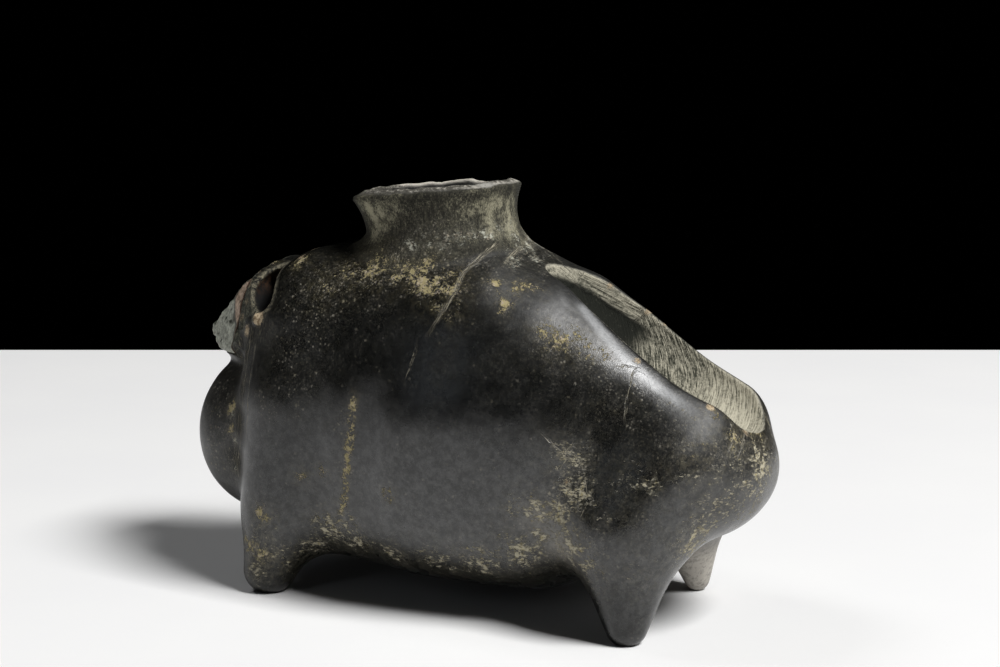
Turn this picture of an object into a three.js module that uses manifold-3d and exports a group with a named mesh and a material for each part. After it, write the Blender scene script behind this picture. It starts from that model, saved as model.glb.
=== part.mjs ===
// A stone effigy vessel: a hollow four-legged animal carved from one block, with a short flared neck on
// its back, a scoop ground into the back behind the neck, and the broken stub of a head in front.
//
// Millimetres, +Z up. The animal faces -X and stands on Z = 0, which is the plane of its worn soles.
// The outer form is one smooth blend of simple rounded forms, meshed where that blend is zero, as a
// carver rounds one limb into the next. Everything with a crisp edge is turned or cut: the neck, the
// hollow, the perforation, the scoop, the breaks and the soles.
import * as THREE from "three";
import Module from "manifold-3d";
import { mergeVertices } from "three/addons/utils/BufferGeometryUtils.js";

// Body. Centres are [x, y, z], and half sizes are [x, y, z] too. Limbs are given for one side only.
const FLANKS = { centre: [-2, 0, 42], radii: [50, 33, 34] };
const BELLY = { centre: [5, 0, 27], half: [33, 27, 22], round: 20 };
const WITHERS = { centre: [-13, 0, 58], half: [36, 25.5, 21.5], round: 17 };
const CHEST = { centre: [-33, 0, 38], half: [20, 23, 30], round: 13 };
// The haunches are a box laid along the slope of the back. Its sides spread outward down to a depth.
const HAUNCH = {
  centre: [34.1, 0, 45.4],
  half: [25.3, 16, 18],
  round: 6,
  slope: 30.8,
  spread: 8,
  spreadDepth: 15,
};
const RUMP = { centre: [51.1, 0, 34.4], radii: [18.9, 24, 15.9] };
const FRONT_LEG = { top: [-38, 17, 31], foot: [-43.5, 21.7, 5], topRadius: 13.5, footRadius: 6 };
const REAR_LEG = { top: [43.6, 17, 22], foot: [45.5, 21.7, 3.7], topRadius: 12, footRadius: 4.6 };
const SHOULDER_VALLEY = { top: [-11, 37, 50], foot: [-17.5, 35, 20], topRadius: 3, footRadius: 5.5 };
const LOBE = { centre: [-55, 0, 33], radii: [18, 19, 20] };
const HEAD = { centre: [-53, 0, 62.5], radii: [22.5, 18, 13] };
// Sizes of the fillets where one form runs into the next.
const BLEND = { body: 8, haunch: 10, leg: 10, neck: 7, valley: 7, lobe: 6, head: 4 };
const MESH_CELL = 3.5;
const MESH_MARGIN = 5;

// Neck, turned about an axis that leans toward the head.
const NECK_BASE = [-8.5, 0, 79];
const NECK_LEAN = 7.5;
const NECK_HEIGHT = 14;
const NECK_SINK = 12;
const RIM_RADIUS = 19;
const WAIST_RADIUS = 17.3;
const WAIST_HEIGHT = 6.5;
const NECK_FOOT_RADIUS = 18.6;
const NECK_ROOT_RADIUS = 17.6;
const LIP_DROP = 1.4;
const MOUTH_RADIUS = 14.5;
const THROAT_RADIUS = 12.5;

// Hollow inside, drilled and scraped out through the neck.
const HOLLOW = { centre: [-5, 0, 43], radii: [36, 24, 24] };

const NECK_ROOT = {
  top: NECK_BASE,
  foot: HOLLOW.centre,
  topRadius: NECK_ROOT_RADIUS,
  footRadius: NECK_ROOT_RADIUS,
};

// Scoop ground into the back, a long spindle laid along the slope of the haunches.
const SCOOP = { start: [16, 0, 79.5], end: [68.5, 0, 45], fullest: 0.7, halfWidth: 12.5, depth: 8.5 };

// Flakes lost from the lip, each by its bearing round the neck, its length along the lip and its depth.
const LIP_CHIPS = [
  { bearing: -28, length: 9, depth: 2.2 },
  { bearing: 38, length: 6, depth: 1.6 },
  { bearing: 118, length: 10, depth: 1.8 },
  { bearing: 200, length: 7, depth: 1.4 },
];

// Perforation through the neck of the animal, just behind the break.
const PERFORATION = { centre: [-46, 0, 69], radius: 4.3 };

// The head broke away. Each break is a plane, given by a point on it and the way it faces.
const BREAKS = [
  { point: [-58, 0, 69.3], facing: [-0.62, -0.1, 0.78] },
  { point: [-62.3, -8.3, 60], facing: [-0.65, -0.72, 0.25] },
];

const UNDERSIDE = { point: [-68, 0, 53], facing: [-0.6, 0, -0.8] };

// The breaks stay in front of one place and above another.
const HEAD_REGION = { rear: [-45, 0, 50], bottom: [-45, 0, 50] };
const CUT_REACH = 160;

// The piece of the head that is set back along an old crack.
const CRACK = { point: [-54.5, 0, 63], facing: [-1, 0.1, 0.25], ledge: 52.5, gap: 0.3 };

const wasm = await Module();
wasm.setup();

// Signed distance forms. Each returns about the distance from (x, y, z) to its surface, negative inside.
function ellipsoid(x, y, z, form) {
  const px = (x - form.centre[0]) / form.radii[0];
  const py = (y - form.centre[1]) / form.radii[1];
  const pz = (z - form.centre[2]) / form.radii[2];
  const near = Math.hypot(px, py, pz);
  const slope = Math.hypot(px / form.radii[0], py / form.radii[1], pz / form.radii[2]);
  return slope < 1e-9 ? -Math.min(...form.radii) : (near * (near - 1)) / slope;
}

// A limb is the smooth skin over a ball at its top and a smaller ball at its foot.
function limb(x, y, z, form) {
  const axis = [0, 1, 2].map((m) => form.foot[m] - form.top[m]);
  const from = [x - form.top[0], y - form.top[1], z - form.top[2]];
  const length2 = axis[0] ** 2 + axis[1] ** 2 + axis[2] ** 2;
  const taper = form.topRadius - form.footRadius;
  const along = from[0] * axis[0] + from[1] * axis[1] + from[2] * axis[2];
  const past = along - length2;
  const side2 = [0, 1, 2].reduce((sum, m) => sum + (from[m] * length2 - axis[m] * along) ** 2, 0);
  const bound = Math.sign(taper) * taper * taper * side2;
  const cone = length2 - taper * taper;
  if (Math.sign(past) * cone * past * past * length2 > bound)
    return Math.sqrt(side2 + past * past * length2) / length2 - form.footRadius;
  if (Math.sign(along) * cone * along * along * length2 < bound)
    return Math.sqrt(side2 + along * along * length2) / length2 - form.topRadius;
  return (Math.sqrt((side2 * cone) / length2) + along * taper) / length2 - form.topRadius;
}

function roundedBox(x, y, z, form) {
  const qx = Math.abs(x - form.centre[0]) - form.half[0] + form.round;
  const qy = Math.abs(y - form.centre[1]) - form.half[1] + form.round;
  const qz = Math.abs(z - form.centre[2]) - form.half[2] + form.round;
  const outside = Math.hypot(Math.max(qx, 0), Math.max(qy, 0), Math.max(qz, 0));
  return outside + Math.min(Math.max(qx, qy, qz), 0) - form.round;
}

// Joins two forms with a fillet of about the size blend.
function join(a, b, blend) {
  const h = Math.max(blend - Math.abs(a - b), 0) / blend;
  return Math.min(a, b) - (h * h * blend) / 4;
}

// A rounded box laid along the slope of the back, with its sides spread outward below its top.
function slopedBox(x, y, z, form) {
  const slope = THREE.MathUtils.degToRad(form.slope);
  const dx = x - form.centre[0];
  const dz = z - form.centre[2];
  const along = dx * Math.cos(slope) - dz * Math.sin(slope);
  const out = dx * Math.sin(slope) + dz * Math.cos(slope);
  const depth = (form.half[2] - out) / form.spreadDepth;
  const spread = form.spread * Math.max(join(depth, 1, 0.6), 0);
  return roundedBox(form.centre[0] + along, Math.max(y - spread, 0), form.centre[2] + out, form);
}

function bodyField(x, yEitherSide, z) {
  const y = Math.abs(yEitherSide);
  let d = ellipsoid(x, y, z, FLANKS);
  d = join(d, roundedBox(x, y, z, WITHERS), BLEND.body);
  d = join(d, roundedBox(x, y, z, BELLY), BLEND.body);
  d = join(d, roundedBox(x, y, z, CHEST), BLEND.body);
  d = join(d, slopedBox(x, y, z, HAUNCH), BLEND.haunch);
  d = join(d, ellipsoid(x, y, z, RUMP), BLEND.body);
  d = join(d, limb(x, y, z, FRONT_LEG), BLEND.leg);
  d = join(d, limb(x, y, z, REAR_LEG), BLEND.leg);
  d = -join(-d, limb(x, y, z, SHOULDER_VALLEY), BLEND.valley);
  d = join(d, limb(x, y, z, NECK_ROOT), BLEND.neck);
  d = join(d, ellipsoid(x, y, z, LOBE), BLEND.lobe);
  return join(d, ellipsoid(x, y, z, HEAD), BLEND.head);
}

// Moves a point down the slope of the field until it lies on the surface.
function settle(field, point, cell) {
  const h = 0.01;
  let [x, y, z] = point;
  for (let round = 0; round < 5; round++) {
    const gx = (field(x + h, y, z) - field(x - h, y, z)) / (2 * h);
    const gy = (field(x, y + h, z) - field(x, y - h, z)) / (2 * h);
    const gz = (field(x, y, z + h) - field(x, y, z - h)) / (2 * h);
    const value = Math.min(0.3 * cell, Math.max(-0.3 * cell, field(x, y, z)));
    const step = value / Math.max(gx * gx + gy * gy + gz * gz, 1e-6);
    x -= gx * step;
    y -= gy * step;
    z -= gz * step;
  }
  return [x, y, z];
}

// Splits a quad along the diagonal that bends it less.
function splitQuad([a, b, c, d], points) {
  const corner = (index) => new THREE.Vector3().fromArray(points, 3 * index);
  const facing = (i, j, k) => {
    const origin = corner(i);
    const first = corner(j).sub(origin);
    return first.cross(corner(k).sub(origin)).normalize();
  };
  const bendAC = facing(a, b, c).dot(facing(a, c, d));
  const bendBD = facing(a, b, d).dot(facing(b, c, d));
  return bendAC > bendBD ? [a, b, c, a, c, d] : [a, b, d, b, c, d];
}

// Puts one point in each grid cell that the surface crosses, and a quad over each grid edge it crosses.
function meshField(field, box, cell) {
  const low = box.min.toArray();
  const n = box.getSize(new THREE.Vector3()).toArray().map((length) => Math.ceil(length / cell) + 1);
  const step = [1, n[0], n[0] * n[1]];
  const at = (i, j, k) => i + step[1] * j + step[2] * k;
  const values = new Float64Array(n[0] * n[1] * n[2]);
  for (let k = 0; k < n[2]; k++)
    for (let j = 0; j < n[1]; j++)
      for (let i = 0; i < n[0]; i++)
        values[at(i, j, k)] = field(low[0] + i * cell, low[1] + j * cell, low[2] + k * cell);
  const edges = [];
  for (let a = 0; a < 8; a++)
    for (let axis = 0; axis < 3; axis++) if (!((a >> axis) & 1)) edges.push([a, a | (1 << axis), axis]);
  const offset = (corner) => [corner & 1, (corner >> 1) & 1, corner >> 2];
  const points = [];
  const pointOfCell = new Map();
  for (let k = 0; k < n[2] - 1; k++)
    for (let j = 0; j < n[1] - 1; j++)
      for (let i = 0; i < n[0] - 1; i++) {
        const sum = [0, 0, 0];
        let crossings = 0;
        for (const [a, b, axis] of edges) {
          const from = offset(a);
          const va = values[at(i + from[0], j + from[1], k + from[2])];
          const to = offset(b);
          const vb = values[at(i + to[0], j + to[1], k + to[2])];
          if (va < 0 === vb < 0) continue;
          from[axis] += va / (va - vb);
          from.forEach((value, m) => (sum[m] += value));
          crossings++;
        }
        if (!crossings) continue;
        pointOfCell.set(at(i, j, k), points.length / 3);
        const mean = [i, j, k].map((index, m) => low[m] + cell * (index + sum[m] / crossings));
        points.push(...settle(field, mean, cell));
      }
  const triangles = [];
  for (let k = 1; k < n[2] - 1; k++)
    for (let j = 1; j < n[1] - 1; j++)
      for (let i = 1; i < n[0] - 1; i++)
        for (let axis = 0; axis < 3; axis++) {
          const here = at(i, j, k);
          const inside = values[here] < 0;
          if (inside === values[here + step[axis]] < 0) continue;
          const u = step[(axis + 1) % 3];
          const v = step[(axis + 2) % 3];
          const quad = [here - u - v, here - v, here, here - u].map((c) => pointOfCell.get(c));
          if (!inside) quad.reverse();
          triangles.push(...splitQuad(quad, points));
        }
  const geometry = new THREE.BufferGeometry();
  geometry.setAttribute("position", new THREE.Float32BufferAttribute(points, 3));
  geometry.setIndex(triangles);
  return geometry;
}

// True where no directed edge is used twice, so that the surface nowhere touches itself along an edge.
function isSimple(geometry) {
  const index = geometry.index.array;
  const count = geometry.attributes.position.count;
  const used = new Set();
  for (let t = 0; t < index.length; t += 3)
    for (let m = 0; m < 3; m++) used.add(index[t + m] * count + index[t + ((m + 1) % 3)]);
  return used.size === index.length;
}

// Solids for joining and cutting.
function solid(geometry) {
  const bare = geometry.clone();
  bare.deleteAttribute("normal");
  bare.deleteAttribute("uv");
  const merged = mergeVertices(bare, 1e-4);
  const mesh = new wasm.Mesh({
    numProp: 3,
    vertProperties: new Float32Array(merged.attributes.position.array),
    triVerts: new Uint32Array(merged.index.array),
  });
  return new wasm.Manifold(mesh);
}

function asGeometry(manifold) {
  const mesh = manifold.getMesh();
  const geometry = new THREE.BufferGeometry();
  geometry.setAttribute("position", new THREE.Float32BufferAttribute(mesh.vertProperties, 3));
  geometry.setIndex(Array.from(mesh.triVerts));
  geometry.computeVertexNormals();
  return geometry;
}

// Turned about Z from [radius, height] pairs, and closed on the axis at both ends.
function turned(profile, segments) {
  const points = profile.map(([radius, height]) => new THREE.Vector2(radius, height));
  return new THREE.LatheGeometry(points, segments).rotateX(Math.PI / 2);
}

// A smooth run of [radius, height] pairs through the given ones.
function sweep(pairs, count) {
  const curve = new THREE.CatmullRomCurve3(pairs.map(([r, z]) => new THREE.Vector3(r, z, 0)));
  return curve.getPoints(count).map((p) => [p.x, p.y]);
}

// A block that holds everything on the side that a plane faces.
function beyond(point, facing, reach = CUT_REACH) {
  const block = new THREE.BoxGeometry(reach, reach, reach).translate(0, 0, reach / 2);
  const turn = new THREE.Quaternion().setFromUnitVectors(
    new THREE.Vector3(0, 0, 1),
    new THREE.Vector3(...facing).normalize(),
  );
  return block.applyQuaternion(turn).translate(...point);
}

function makeOuterForm() {
  const reach = new THREE.Box3();
  const add = (centre, size) => {
    for (const side of [1, -1]) {
      const c = new THREE.Vector3(centre[0], centre[1] * side, centre[2]);
      reach.union(new THREE.Box3(c.clone().sub(size), c.clone().add(size)));
    }
  };
  for (const form of [FLANKS, RUMP, LOBE, HEAD]) add(form.centre, new THREE.Vector3(...form.radii));
  for (const form of [BELLY, WITHERS, CHEST]) add(form.centre, new THREE.Vector3(...form.half));
  const haunchReach = Math.hypot(HAUNCH.half[0], HAUNCH.half[2]) + HAUNCH.spread;
  add(HAUNCH.centre, new THREE.Vector3().setScalar(haunchReach));
  for (const form of [FRONT_LEG, REAR_LEG, NECK_ROOT]) {
    add(form.top, new THREE.Vector3().setScalar(form.topRadius));
    add(form.foot, new THREE.Vector3().setScalar(form.footRadius));
  }
  reach.expandByScalar(MESH_MARGIN);
  let geometry = meshField(bodyField, reach, MESH_CELL);
  while (!isSimple(geometry)) {
    reach.expandByScalar(0.17 * MESH_CELL);
    geometry = meshField(bodyField, reach, MESH_CELL);
  }
  return solid(geometry);
}

function onNeckAxis(geometry) {
  return geometry.rotateY(THREE.MathUtils.degToRad(-NECK_LEAN)).translate(...NECK_BASE);
}

function makeNeck() {
  const side = sweep(
    [
      [NECK_FOOT_RADIUS, 0],
      [WAIST_RADIUS + 0.5, WAIST_HEIGHT * 0.45],
      [WAIST_RADIUS, WAIST_HEIGHT],
      [WAIST_RADIUS + 0.5, WAIST_HEIGHT * 1.5],
      [RIM_RADIUS, NECK_HEIGHT - LIP_DROP],
    ],
    9,
  );
  const profile = [
    [0, -NECK_SINK],
    [NECK_FOOT_RADIUS - 3, -NECK_SINK],
    [NECK_FOOT_RADIUS, -NECK_SINK / 2],
    ...side,
    [RIM_RADIUS - 0.6, NECK_HEIGHT - LIP_DROP * 0.3],
    [RIM_RADIUS - 2, NECK_HEIGHT],
    [0, NECK_HEIGHT],
  ];
  return solid(onNeckAxis(turned(profile, 48)));
}

function makeMouth() {
  const depth = NECK_BASE[2] - HOLLOW.centre[2];
  const above = NECK_HEIGHT + NECK_ROOT_RADIUS;
  const profile = [
    [0, -depth],
    [THROAT_RADIUS, -depth],
    [THROAT_RADIUS, 2],
    [THROAT_RADIUS + 0.5, WAIST_HEIGHT],
    [MOUTH_RADIUS, NECK_HEIGHT - 1.5],
    [MOUTH_RADIUS + 1.5, NECK_HEIGHT],
    [MOUTH_RADIUS + 2, above],
    [0, above],
  ];
  return solid(onNeckAxis(turned(profile, 40)));
}

function makeLipChip({ bearing, length, depth }) {
  const flake = new THREE.SphereGeometry(1, 20, 10).scale(RIM_RADIUS - MOUTH_RADIUS, length / 2, depth);
  flake.translate(RIM_RADIUS, 0, NECK_HEIGHT).rotateZ(THREE.MathUtils.degToRad(bearing));
  return solid(onNeckAxis(flake));
}

function makeHollow() {
  const round = new THREE.SphereGeometry(1, 36, 18).rotateX(Math.PI / 2);
  return solid(round.scale(...HOLLOW.radii).translate(...HOLLOW.centre));
}

function makeScoop() {
  const start = new THREE.Vector3(...SCOOP.start);
  const end = new THREE.Vector3(...SCOOP.end);
  const along = end.clone().sub(start);
  const length = along.length();
  const above = length * SCOOP.fullest;
  const below = length - above;
  const profile = [[0, -above]];
  const steps = 16;
  for (let i = 1; i < steps; i++) {
    const u = -Math.cos((Math.PI * i) / steps);
    profile.push([Math.sqrt(1 - Math.pow(Math.abs(u), 2.5)), u < 0 ? u * above : u * below]);
  }
  profile.push([0, below]);
  const spindle = turned(profile, 32).scale(SCOOP.depth, SCOOP.halfWidth, 1);
  const turn = Math.atan2(along.x, along.z);
  const fullest = start.lerp(end, SCOOP.fullest);
  return solid(spindle.rotateY(turn).translate(fullest.x, fullest.y, fullest.z));
}

function makePerforation() {
  const bar = new THREE.CylinderGeometry(PERFORATION.radius, PERFORATION.radius, CUT_REACH, 28);
  return solid(bar.translate(...PERFORATION.centre));
}

// Everything in front of the crack and above its ledge, moved forward and up by the given gap.
function aheadOfCrack(gap) {
  const facing = new THREE.Vector3(...CRACK.facing).normalize();
  const point = new THREE.Vector3(...CRACK.point).addScaledVector(facing, gap);
  return solid(beyond(point.toArray(), facing.toArray())).intersect(
    solid(beyond([CRACK.point[0], 0, CRACK.ledge + gap], [0, 0, 1])),
  );
}

function makeHeadFragment() {
  const round = new THREE.SphereGeometry(1, 32, 18).rotateX(Math.PI / 2);
  let piece = solid(round.scale(...HEAD.radii).translate(...HEAD.centre)).intersect(aheadOfCrack(CRACK.gap));
  for (const cut of [...BREAKS, UNDERSIDE]) piece = piece.subtract(solid(beyond(cut.point, cut.facing)));
  return piece;
}

let stone = makeOuterForm();
stone = stone.subtract(solid(beyond([0, 0, 0], [0, 0, -1])));
stone = stone.subtract(aheadOfCrack(0));
const headOnly = solid(beyond(HEAD_REGION.rear, [-1, 0, 0])).intersect(
  solid(beyond(HEAD_REGION.bottom, [0, 0, 1])),
);
for (const cut of BREAKS) stone = stone.subtract(solid(beyond(cut.point, cut.facing)).intersect(headOnly));
stone = stone.add(makeNeck()).subtract(makeScoop());
for (const chip of LIP_CHIPS) stone = stone.subtract(makeLipChip(chip));
stone = stone.subtract(makeHollow()).subtract(makeMouth()).subtract(makePerforation());

// The parts above are placed about the middle of the four feet. The group moves them so that its origin
// is under the middle of the whole length and width, on the ground.
const vessel = new THREE.Group();
function place(name, manifold, look) {
  const mesh = new THREE.Mesh(asGeometry(manifold), new THREE.MeshStandardMaterial(look));
  mesh.name = name;
  vessel.add(mesh);
}
place("vessel_body", stone, { color: 0x1c1d1d, roughness: 0.35 });
place("head_fragment", makeHeadFragment(), { color: 0x5a5a50, roughness: 0.7 });

const extent = new THREE.Box3().setFromObject(vessel);
vessel.position.set(-(extent.min.x + extent.max.x) / 2, -(extent.min.y + extent.max.y) / 2, 0);
vessel.updateMatrixWorld(true);
export default vessel;
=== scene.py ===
# Dresses a carved stone effigy vessel: a hollow four-legged animal with a short flared neck on
# its back, a scoop ground into the back behind the neck, and a broken head with one piece set back
# along a crack.
#
# The stone is worked in millimetres from the middle of the four feet, as a carver would measure it.
# It is moved to the frame's origin, and into metres, when a mesh is made.
import functools
import math

import bpy
import numpy as np
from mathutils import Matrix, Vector


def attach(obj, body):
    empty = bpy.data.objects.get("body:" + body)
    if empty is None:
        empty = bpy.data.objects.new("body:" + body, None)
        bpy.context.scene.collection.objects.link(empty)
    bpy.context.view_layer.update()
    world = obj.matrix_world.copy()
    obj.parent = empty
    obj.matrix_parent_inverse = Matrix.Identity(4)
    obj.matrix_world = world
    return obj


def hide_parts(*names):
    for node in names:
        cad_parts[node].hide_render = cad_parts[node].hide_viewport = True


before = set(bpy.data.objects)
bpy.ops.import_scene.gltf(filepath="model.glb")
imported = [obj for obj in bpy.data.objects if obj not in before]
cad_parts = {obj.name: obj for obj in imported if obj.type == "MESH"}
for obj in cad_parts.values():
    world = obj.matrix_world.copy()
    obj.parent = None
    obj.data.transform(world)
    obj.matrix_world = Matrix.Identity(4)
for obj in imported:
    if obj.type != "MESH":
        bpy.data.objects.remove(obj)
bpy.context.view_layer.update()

MM = 0.001
# From the middle of the feet to the frame's origin.
ORIGIN_SHIFT = np.array([1.6788, -0.0023, 0.0])

# The photograph's frame in pixels, and its camera in millimetres and degrees.
FRAME_WIDTH = 1000
FRAME_HEIGHT = 667
CAMERA_PLACE = np.array([185.5, -372.0, 125.7])
CAMERA_AZIMUTH = 25.84
CAMERA_PITCH = 8.98
CAMERA_FOCAL_PIXELS = 1850.0
# Where a line of sight can meet the stone, in millimetres from the camera: from, to and step.
SIGHT_STEPS = (300.0, 520.0, 0.4)

# The carved forms, with half sizes and radii in X, Y and Z. Limbs are given for one side only.
FLANKS = {"centre": (-2, 0, 42), "radii": (50, 33, 34)}
BELLY = {"centre": (5, 0, 27), "half": (33, 27, 22), "round": 20}
WITHERS = {"centre": (-13, 0, 58), "half": (36, 25.5, 21.5), "round": 17}
CHEST = {"centre": (-33, 0, 38), "half": (20, 23, 30), "round": 13}
HAUNCH = {
    "centre": (34.1, 0, 45.4),
    "half": (25.3, 16, 18),
    "round": 6,
    "slope": 30.8,
    "spread": 8,
    "spread_depth": 15,
    "spread_blend": 0.6,
}
RUMP = {"centre": (51.1, 0, 34.4), "radii": (18.9, 24, 15.9)}
FRONT_LEG = {"top": (-37, 15, 42), "foot": (-43.5, 21.7, 5), "top_radius": 12.2, "foot_radius": 6}
REAR_LEG = {"top": (43.6, 17, 22), "foot": (45.5, 21.7, 3.7), "top_radius": 12, "foot_radius": 4.6}
FAR_REAR_LEG = {
    "top": (44.3, 17, 22),
    "foot": (45.6, 21.7, 2.7),
    "top_radius": 9.6,
    "foot_radius": 3.0,
}
# The near rear leg's form becomes the far one's over this distance on each side of the middle.
HALF_WAY_OVER = 6
SHOULDER_VALLEY = {
    "top": (-11, 37, 50),
    "foot": (-17.5, 35, 20),
    "top_radius": 3,
    "foot_radius": 5.5,
}
LOBE = {"centre": (-55, 0, 33), "radii": (18, 19, 20)}
HEAD = {"centre": (-53, 0, 62.5), "radii": (22.5, 18, 13)}
# A knob of pale mineral under the hole on the left side of the head.
KNOB = {"centre": (-45.8, -20.9, 63.4), "radii": (2.0, 1.7, 1.6)}
HOLLOW = {"centre": (-5, 0, 43), "radii": (36, 24, 24)}
# Sizes of the fillets where one form runs into the next.
BLEND = {
    "body": 8,
    "haunch": 10,
    "leg": 10,
    "neck": 7,
    "valley": 7,
    "lobe": 6,
    "head": 4,
    "knob": 0.7,
    "lip": 0.9,
    "worn_edge": 0.8,
    "hollow": 0.6,
    "break": 0.4,
    "flake": 0.3,
}
# The slow waves that hand grinding left on the skin: height and length.
GRINDING_WAVES = ((0.1, 9), (0.04, 3.7))
# How rough each cut face is: height and length of its bumps.
ROUGHNESS = {
    "hollow": (0.3, 5),
    "bore": (0.15, 4),
    "hole": (0.25, 2.2),
    "head": (0.2, 4),
    "break": (0.5, 3.1),
    "flake": (0.12, 1.1),
}

NECK_BASE = np.array([-8.5, 0.0, 79.0])
NECK_LEAN = math.radians(7.5)
NECK_SIDE, NECK_RISE = math.cos(NECK_LEAN), math.sin(NECK_LEAN)
NECK_HEIGHT = 14.0
NECK_SINK = 12.0
NECK_FOOT_RADIUS = 18.6
NECK_ROOT_RADIUS = 17.6
WAIST_RADIUS = 17.3
WAIST_HEIGHT = 6.5
RIM_RADIUS = 19.0
THROAT_RADIUS = 12.5
MOUTH_RADIUS = 14.5
# The flare's curve, and how far below the lip it is widest.
FLARE_CURVE = 1.8
WIDEST_BELOW_LIP = 1.4
# Inside, the bore opens towards the mouth, with a bevel at its edge.
THROAT_HEIGHT = 1
BORE_OPEN_BELOW_LIP = 1.5
MOUTH_BEVEL = 1.4
BEVEL_FROM_LIP = (-2.5, 1)
# The lip is a little higher and more level than the neck, and falls away outside a radius.
LIP_RISE = 0.8
LIP_LEVELLING = 0.75
LIP_FALL_RADIUS = 16.8
LIP_FALL = 0.5
# The lip's ripples, as their number round the neck, phase and height, and its smaller nicks.
LIP_RIPPLES = ((3, 0.6, 0.08), (7, 2.0, 0.06), (13, 0.0, 0.05))
LIP_NICKS = 0.2
NECK_ROOT = {
    "top": tuple(NECK_BASE),
    "foot": HOLLOW["centre"],
    "top_radius": NECK_ROOT_RADIUS,
    "foot_radius": NECK_ROOT_RADIUS,
}
# Flakes lost from the lip: bearing round the neck in degrees, distance from the axis, length along
# the lip, width and depth. Each one's middle is a little over the lip's edge.
FLAKE_OVER_LIP = 0.3
# Half a flake's height, beyond its depth.
FLAKE_HEIGHT = 0.5
LIP_FLAKES = (
    (-28, 19.5, 9, 4, 1.0),
    (112, 19.5, 9, 3, 0.6),
    (205, 19, 7, 3, 0.7),
    (263, 19.5, 4, 2.5, 0.8),
)
# A shell-shaped scar inside the far end of the lip. Its middle is over the neck's height.
SCAR = {"bearing": 58, "radius": 13.2, "rise": 1.0, "length": 17, "width": 5.2, "depth": 4.6}
SCAR_STEEPNESS = 0.8
SCAR_RIPPLE_HEIGHT = 0.12
SCAR_RIPPLE_LENGTH = 1.5

SCOOP_START = np.array([17.7, 0.0, 78.4])
SCOOP_END = np.array([68.5, 0.0, 45.0])
SCOOP_LENGTH = np.linalg.norm(SCOOP_END - SCOOP_START)
# Where along its length the scoop is fullest, as a share, and how blunt its ends are.
SCOOP_FULLEST = 0.7
SCOOP_BLUNTNESS = 2.5
SCOOP_HALF_WIDTH = 12.5
SCOOP_DEPTH = 8.5

PERFORATION = {"centre": (-46, 0, 69), "radius": 4.3}
BREAKS = (
    ((-58, 0, 69.3), (-0.62, -0.1, 0.78)),
    ((-62.3, -8.3, 60), (-0.65, -0.72, 0.25)),
)
UNDERSIDE = ((-68, 0, 53), (-0.6, 0, -0.8))
# Between the larger steps of a break are smaller ones: their height as a share, how many times
# shorter they are, and how far away in the grain they are taken from.
SMALLER_STEPS = (0.5, 2.3, 31)
# The breaks cut only ahead of and above this corner.
HEAD_REGION = {"rear": -45, "bottom": 50}
CRACK_POINT = np.array([-54.5, 0.0, 63.0])
CRACK_FACING = np.array([-1.0, 0.1, 0.25]) / np.linalg.norm([-1.0, 0.1, 0.25])
CRACK_LEDGE = 52.5
CRACK_GAP = 0.3
# A pixel on the dark line between the fragment's facets.
SEAM_PIXEL = (231, 300)

# The space round each piece in which its surface is looked for, and the fineness of the meshes.
STONE_SPACE = ((-78, -37, -2), (76, 37, 98))
FRAGMENT_SPACE = ((-77, -21, 50), (-50, 21, 78))
STONE_CELL = 0.52
STONE_TRIANGLES = 190000
FRAGMENT_CELL = 0.3
FRAGMENT_TRIANGLES = 40000
POINTS_AT_ONCE = 400000
# How steeply the forms' values can rise, which says how near a surface a coarse value is.
STEEPEST_RISE = 1.5
# A point settles by this share of a cell at most, and by less where the form's slope is slight.
LONGEST_SETTLING = 0.3
LEAST_SLOPE_SQUARED = 0.25

# A mark fades in over its first millimetres, out over the last share of its length, and ends beside
# its line.
LINE_STARTS_OVER = (-0.5, 2.5)
LINE_TAIL = 0.3
LINE_ENDS_BESIDE = (1.5, 3.0)
# Marks on the near side, by where the photograph shows them in pixels.
SCRATCHES = {
    "deep_scratches": (
        ((498, 243), (476, 262), (463, 273), (455, 292), (437, 321), (426, 340)),
        ((528, 237), (515, 252), (501, 267)),
    ),
    "thin_scratches": (
        ((388, 272), (392, 258), (398, 243)),
        ((396, 268), (400, 256), (405, 245)),
        ((517, 251), (534, 258), (550, 267), (560, 280)),
        ((500, 268), (510, 257), (524, 247), (540, 240)),
        ((506, 270), (520, 259), (536, 246)),
        ((530, 250), (545, 262), (557, 275)),
        ((538, 243), (552, 254), (563, 268)),
        ((470, 262), (482, 254)),
        ((474, 268), (486, 262)),
        ((252, 330), (246, 370), (243, 410), (240, 450), (237, 490)),
        ((258, 330), (252, 370), (248, 410), (245, 450)),
        ((247, 345), (242, 380), (239, 420), (237, 455)),
        ((560, 470), (574, 440)),
        ((570, 500), (590, 462)),
        ((548, 520), (566, 490)),
        ((580, 520), (592, 492)),
        ((610, 367), (624, 366), (637, 368)),
        ((640, 362), (632, 376), (629, 390), (626, 405), (625, 425)),
        ((418, 345), (412, 362), (405, 380)),
        ((540, 432), (556, 446), (572, 458), (590, 470)),
        ((640, 340), (652, 352), (668, 360)),
        ((745, 436), (741, 446), (737, 458)),
        ((735, 432), (730, 445), (728, 452)),
        ((576, 452), (584, 470), (588, 500)),
    ),
    # The pale line along the scoop's near edge is rubbed stone and a painted highlight along the
    # ridge.
    "rubbed_edge_and_highlight": (((578, 302), (600, 330), (622, 356), (648, 380), (674, 399), (704, 420)),),
    "dusty_groove": (((356, 388), (350, 440), (345, 500), (338, 545)),),
}
# Finishes that the hidden far side has too, in mirrored places moved by some millimetres.
FAR_SIDE_FINISHES = ("ochre", "streaky_dust", "crust", "dust", "rubbed", "neck_film", "dark_wear")
FAR_SIDE_SHIFT = np.array([4.0, 0.0, -2.0])
FAR_SIDE_STRENGTH = 0.8
# Finishes whose patches run into one another, and how many times wider than their reach they are.
WIDER_PATCHES = {"ochre": 1.3, "streaky_dust": 1.5}
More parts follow.
